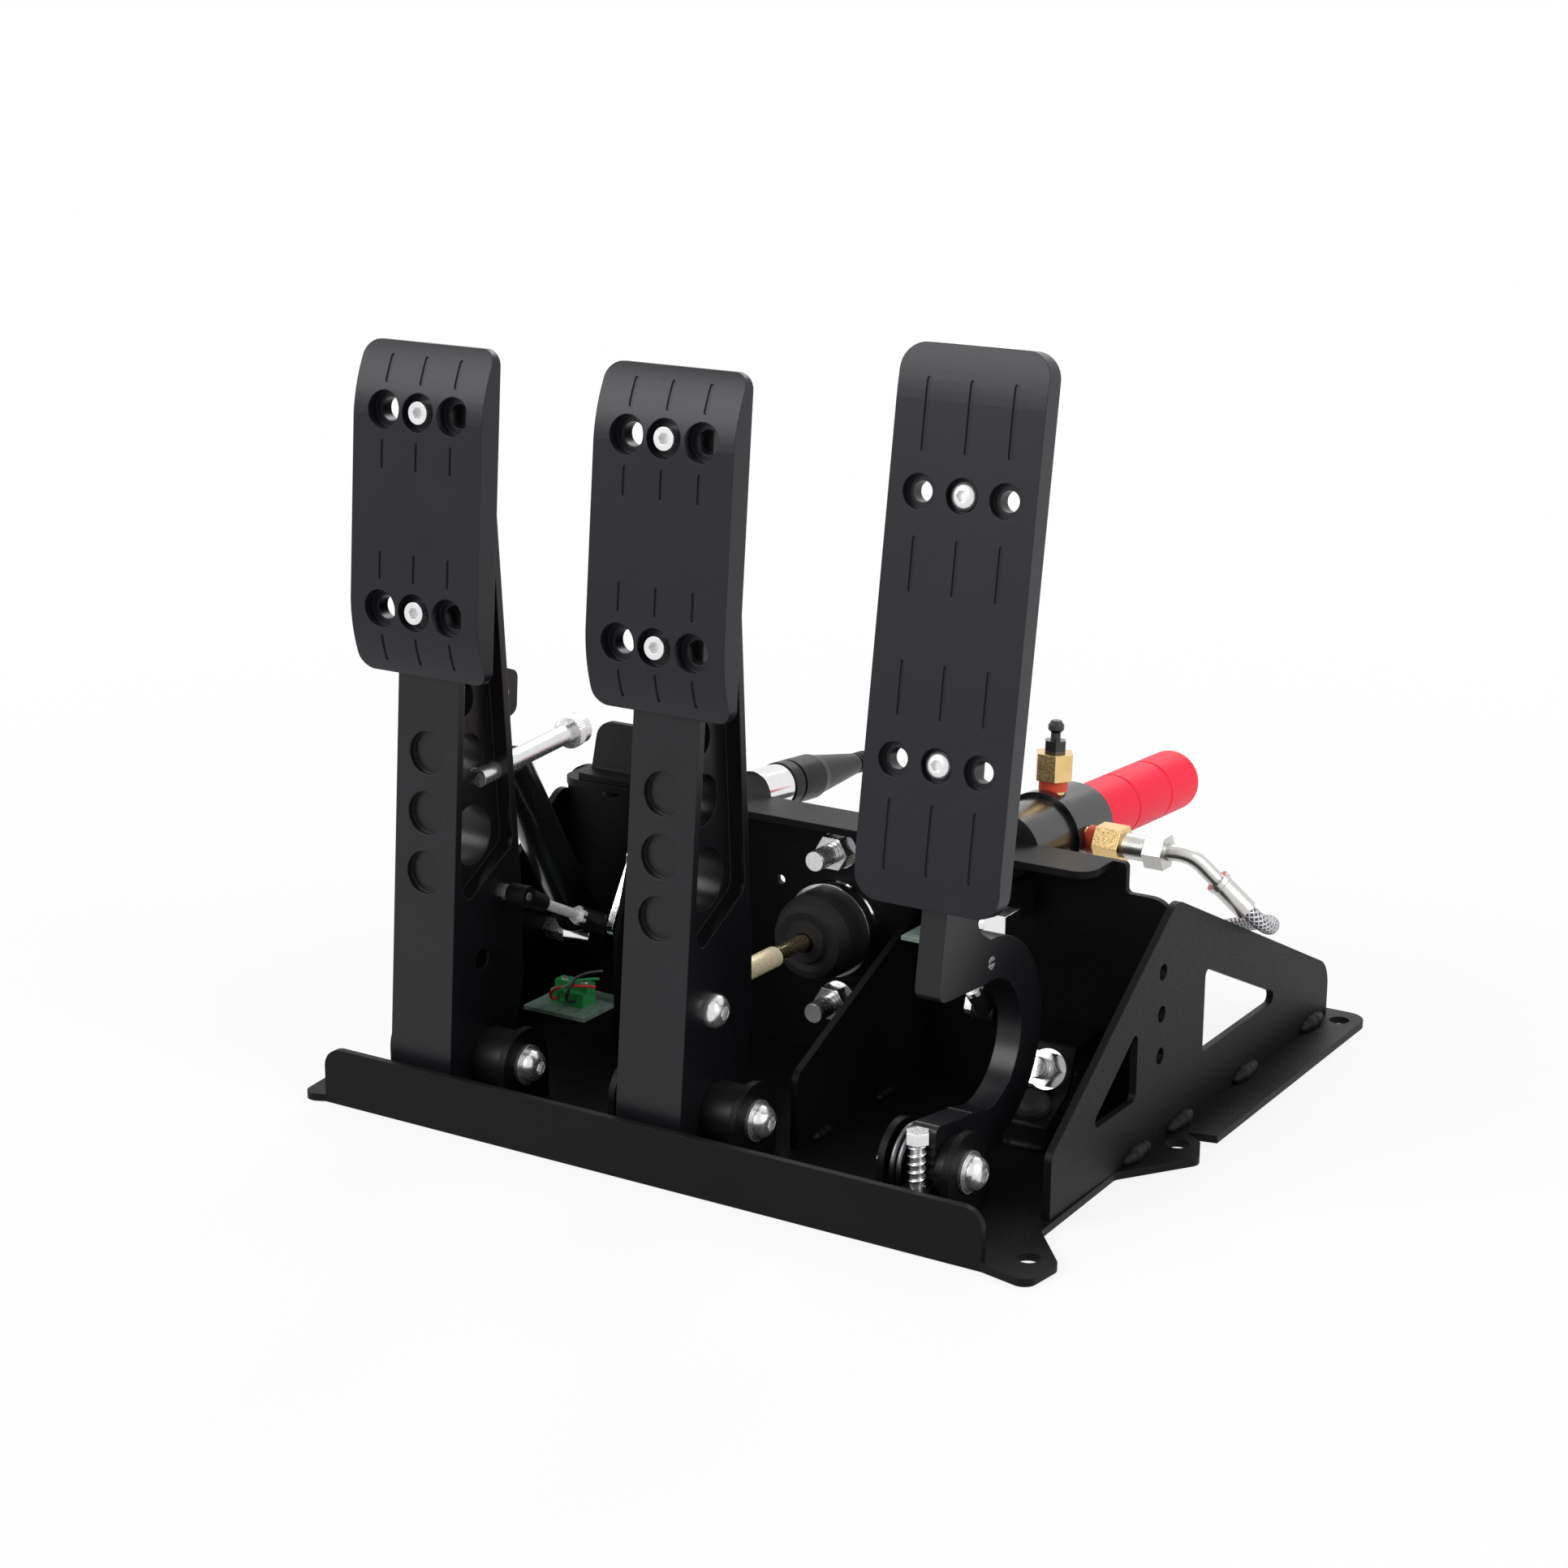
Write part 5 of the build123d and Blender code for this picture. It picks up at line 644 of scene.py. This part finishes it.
# %% A helper for wire
def wire(name, runs, radius, materials, body, replaced=(), order=3):
    """One curve with a smooth spline per run; each run may have its own material."""
    data = bpy.data.curves.new(name, "CURVE")
    data.dimensions = "3D"
    data.bevel_depth = radius
    data.bevel_resolution = 4
    data.resolution_u = 6
    data.use_fill_caps = True
    for material in materials:
        data.materials.append(material)
    for number, points in enumerate(runs):
        spline = data.splines.new("NURBS")
        spline.points.add(len(points) - 1)
        for point, place in zip(spline.points, points):
            point.co = (*place, 1.0)
        spline.order_u = order
        spline.use_endpoint_u = True
        spline.material_index = number if len(materials) > 1 else 0
    made = bpy.data.objects.new(name, data)
    bpy.context.scene.collection.objects.link(made)
    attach(made, body)
    if replaced:
        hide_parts(*replaced)
    return made


# %% [markdown]
# ## Springs
# The throttle has two springs. A small open coil sits on the idle stop, and a stiff coil
# wraps the pivot and sends a leg back along the floor. Their points come from the formula
# of a coil, with twelve to a turn, and a little extra radius because a smooth spline cuts
# inside its points.

# %% Springs of the throttle
def coil_points(radius, pitch, turns, first_degrees, hand, place):
    """Points of a coil, each taken to the frame by place(x, y, z)."""
    reach = radius / cos(pi / 12) ** 2
    count = int(turns * 12)
    made = []
    for step in range(count + 1):
        angle = radians(first_degrees) + hand * 2 * pi * step / 12
        made.append(place(reach * cos(angle), reach * sin(angle), pitch * step / 12))
    return made


ledge_top, bolt_head_low = 0.0165, 0.0335
idle_wire, idle_play = 0.00045, 0.0002
idle_low = ledge_top + idle_wire + idle_play
idle_high = bolt_head_low - idle_wire - idle_play
idle_run = coil_points(0.00295, (idle_high - idle_low) / 5, 5, 0, 1,
                       lambda x, y, z: Vector((throttle_x + x, 0.0193 - lip_to_origin + y,
                                               idle_low + z)))
wire("idle_coil", [idle_run], idle_wire, [metal["polished"]], "throttle",
     replaced=["idle_stop_spring"], order=4)

left_ear, return_wire, return_play = 0.014, 0.0012, 0.00065
coil_start_x = throttle_x - left_ear + return_wire + return_play
return_run = coil_points(0.0124, 0.00285, 2, -2.5, -1,
                         lambda x, y, z: Vector((coil_start_x + z, pivot_y - lip_to_origin + y,
                                                 pivot_z - x)))
leg_back = Vector((return_run[0].x - 0.0026, 0.1085 - lip_to_origin, return_run[0].z + 0.0016))
leg_run = [leg_back + Vector((0, 0, 0.0090)), leg_back + Vector((0, 0, 0.0040)), leg_back,
           leg_back - Vector((0, 0.0040, 0)), return_run[0] + Vector((-0.0010, 0.0300, 0.0008)),
           return_run[0] + Vector((-0.0003, 0.0070, 0.0002))]
wire("return_coil", [leg_run + return_run], return_wire, [metal["spring"]], "frame",
     replaced=["throttle_return_spring"], order=4)
print("springs made")

# %% [markdown]
# ## Leads of the clutch's sensor
# Three thin leads leave the terminal block in a small bow. Real leads are soft plastic over
# stranded copper, so they are smooth, a little glossy, and each has its own colour.

# %% Leads
lead_red = grained("lead_red", (0.50, 0.012, 0.010), (0.66, 0.020, 0.016),
                   1500.0, 0.00002, (0.30, 0.40))
lead_green = grained("lead_green", (0.010, 0.22, 0.050), (0.016, 0.30, 0.075),
                     1500.0, 0.00002, (0.30, 0.40))
lead_black = grained("lead_black", (0.010, 0.010, 0.010), (0.018, 0.018, 0.018),
                     1500.0, 0.00002, (0.30, 0.42))
lever_gap, lever_thick, bracket_gap = 0.0055, 0.003, 0.001
plate_x = clutch_link_x + lever_gap + lever_thick + bracket_gap
half_board = 0.015
block_middle = plate_x - half_board
terminal_inset, terminal_height = 0.009, 0.009
lead_pitch, lead_bow = 0.004, 0.009
lead_front = 0.075 + terminal_inset - lip_to_origin
lead_top = 0.024 + 0.0016
runs = []
for step in range(3):
    x = block_middle + (step - 1) * lead_pitch
    z = lead_top + terminal_height * 0.3
    runs.append([
        (x, lead_front + 0.0015, z),
        (x, lead_front - lead_bow * 0.6, z),
        (x + lead_bow * 0.3, lead_front - lead_bow, z + lead_bow * 0.8),
        (plate_x - lead_bow * 0.7, lead_front - lead_bow * 0.4, z + lead_bow * (1 + 0.3 * step)),
        (plate_x - 0.0003, lead_front + lead_pitch * step * 0.6,
         z + lead_bow * (0.9 + 0.3 * step)),
    ])
wire("sensor_leads", runs, 0.00065, [lead_red, lead_green, lead_black], "frame",
     replaced=["sensor_wires"])
print("leads", len(runs))

# %% [markdown]
# ## The braided hose
# The brake hose is a soft tube in a jacket of plaited steel wire. Modelling every wire
# would take tens of thousands of faces for a piece a few pixels wide. The tube gets its own
# UV map instead, and two sets of slanting waves on it cross like the plait.

# %% Braid finish
def braid_finish(name, around, along):
    """A plait on the piece's own UV map: waves around it, and along its whole length."""
    made, tree_nodes, links = new_material(name)
    shader = tree_nodes["Principled BSDF"]
    shader.inputs["Metallic"].default_value = 0.7

    def maths(operation, a, b=None):
        step = tree_nodes.new("ShaderNodeMath")
        step.operation = operation
        for socket, value in zip(step.inputs, (a, b)):
            if value is None:
                continue
            if isinstance(value, float):
                socket.default_value = value
            else:
                links.new(value, socket)
        return step.outputs[0]

    uv = tree_nodes.new("ShaderNodeUVMap")
    uv.uv_map = "UVMap"
    split = tree_nodes.new("ShaderNodeSeparateXYZ")
    links.new(uv.outputs[0], split.inputs[0])
    u = maths("MULTIPLY", split.outputs["X"], along * 2 * pi)
    v = maths("MULTIPLY", split.outputs["Y"], around * 2 * pi)
    one = maths("SINE", maths("ADD", u, v))
    other = maths("SINE", maths("SUBTRACT", u, v))
    weave = maths("MAXIMUM", one, other)
    tone = tree_nodes.new("ShaderNodeMapRange")
    tone.inputs["From Min"].default_value = -0.6
    tone.inputs["From Max"].default_value = 1.0
    tone.inputs["To Min"].default_value = 0.0
    tone.inputs["To Max"].default_value = 1.0
    links.new(weave, tone.inputs["Value"])
    mix = tree_nodes.new("ShaderNodeMix")
    mix.data_type = "RGBA"
    mix.inputs[6].default_value = (0.07, 0.07, 0.072, 1)
    mix.inputs[7].default_value = (0.60, 0.60, 0.62, 1)
    links.new(tone.outputs[0], mix.inputs[0])
    links.new(mix.outputs[2], shader.inputs["Base Color"])
    haze = tree_nodes.new("ShaderNodeMapRange")
    haze.inputs["To Min"].default_value = 0.52
    haze.inputs["To Max"].default_value = 0.30
    links.new(tone.outputs[0], haze.inputs["Value"])
    links.new(haze.outputs[0], shader.inputs["Roughness"])
    bump = tree_nodes.new("ShaderNodeBump")
    bump.inputs["Distance"].default_value = 0.0003
    links.new(weave, bump.inputs["Height"])
    links.new(bump.outputs[0], shader.inputs["Normal"])
    return made


# %% [markdown]
# The hose runs from its ferrule in a loop behind the bulkhead to the master cylinder's
# outlet. The points are those of the solid, and the spline rounds them.

# %% Hose
ferrule_end = Vector((0.147, 0.206 - lip_to_origin, 0.076))
rear_cylinder_side = 0.067 + 0.017
adapter_end_x = rear_cylinder_side + 0.005 + 0.011
tube_nut_end_x = adapter_end_x + 0.0105 + 0.008
knee_x = tube_nut_end_x + 0.009
hose_way = (ferrule_end - Vector((knee_x, 0.195 - lip_to_origin, 0.0985))).normalized()
outlet_x = brake_x + 0.024 + 0.0002
hose_run = [ferrule_end - hose_way * 0.0068, ferrule_end + hose_way * 0.012]
hose_run += [Vector((x, y - lip_to_origin, z)) for x, y, z in (
    (0.150, 0.228, 0.0655), (0.131, 0.243, 0.0575), (0.105, 0.246, 0.046),
    (0.078, 0.236, 0.045), (0.057, 0.217, 0.053), (outlet_x + 0.016, 0.208, cylinder_z),
    (outlet_x, 0.208, cylinder_z))]
line = bpy.data.curves.new("hose_line", "CURVE")
line.dimensions = "3D"
line.bevel_depth = 0.0032
line.bevel_resolution = 7
line.resolution_u = 10
spline = line.splines.new("NURBS")
spline.points.add(len(hose_run) - 1)
for point, place in zip(spline.points, hose_run):
    point.co = (*place, 1.0)
spline.order_u = 3
spline.use_endpoint_u = True
carrier = bpy.data.objects.new("hose_line", line)
bpy.context.scene.collection.objects.link(carrier)
bpy.context.view_layer.update()
depsgraph = bpy.context.evaluated_depsgraph_get()
hose_mesh = bpy.data.meshes.new_from_object(carrier.evaluated_get(depsgraph))
bpy.data.objects.remove(carrier)
for face in hose_mesh.polygons:
    face.use_smooth = True
hose_mesh.materials.clear()
hose_mesh.materials.append(braid_finish("steel_braid", 7.0, 75.0))
hose = bpy.data.objects.new("braided_hose", hose_mesh)
bpy.context.scene.collection.objects.link(hose)
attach(hose, "frame")
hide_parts("brake_hose")
print("hose faces", len(hose_mesh.polygons), "uv maps", len(hose_mesh.uv_layers))

# %% [markdown]
# ## Weld beads
# The side plates, the gusset and the stop bracket are welded to the floor in short runs.
# A bead is a row of small overlapping drops, each pushed a little past the last, so a row
# of stretched spheres along the corner looks right and takes the same powder coat.

# %% Weld beads
def bead(bm, start, end, width):
    """A short row of drops, long in the row's direction, that run into one another."""
    start, end = Vector(start), Vector(end)
    way = end - start
    stretch = [1.30 if abs(part) > 0.5 else 0.84 for part in way.normalized()]
    count = max(2, round(way.length / (width * 0.5)))
    for step in range(count + 1):
        share = step / count
        swell = 0.78 + 0.30 * sin(pi * share) + 0.07 * sin(9.0 * share + start.y * 700.0)
        spot = start + way * share
        shape = Matrix.Translation(spot) @ Matrix.Diagonal((*(swell * part for part in stretch), 1))
        bmesh.ops.create_uvsphere(bm, u_segments=14, v_segments=9, radius=width / 2, matrix=shape)


bm = bmesh.new()
outer, inner, left_outer = 0.1455, 0.1425, -0.1425
for middle in (-0.040, -0.001, 0.060, 0.128):
    bead(bm, (outer, middle - 0.0065, 0.0044), (outer, middle + 0.0065, 0.0046), 0.0088)
    bead(bm, (left_outer, middle - 0.0065, 0.0044), (left_outer, middle + 0.0065, 0.0046), 0.0088)
bead(bm, (inner, -0.1045, 0.0036), (inner, -0.0980, 0.0040), 0.0070)
bead(bm, (-0.1395, -0.1045, 0.0036), (-0.1395, -0.0980, 0.0040), 0.0070)
bead(bm, (0.0344, -0.088, 0.0036), (0.0344, -0.078, 0.0040), 0.0066)
bead(bm, (0.0344, -0.040, 0.0036), (0.0344, -0.028, 0.0040), 0.0066)
bead(bm, (0.0990, -0.0538, 0.0036), (0.1110, -0.0538, 0.0040), 0.0060)
bead(bm, (0.1424, -0.0068, 0.078), (0.1424, -0.0068, 0.088), 0.0060)
bead(bm, (0.1424, -0.0068, 0.020), (0.1424, -0.0068, 0.034), 0.0052)
welds = mesh_piece("weld_beads", bm, black["powder"])
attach(welds, "frame")
print("weld faces", len(welds.data.polygons))

# %% [markdown]
# ## Terminal screws
# Each pole of the terminal block is closed by a small round screw, which is the links'
# closed bar again, only shorter.

# %% Terminal screws
bm = bmesh.new()
screw_y = lead_front + 0.0062
for step in (-1, 0, 1):
    spot = Vector((block_middle + step * 0.0048, screw_y, lead_top + 0.009))
    sleeve(bm, spot, (0, 0, 1), 0.0004, 0.0016, 20)
terminal = mesh_piece("terminal_screws", bm, metal["bright"], smooth=False)
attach(terminal, "frame")
print("terminal screws 3")
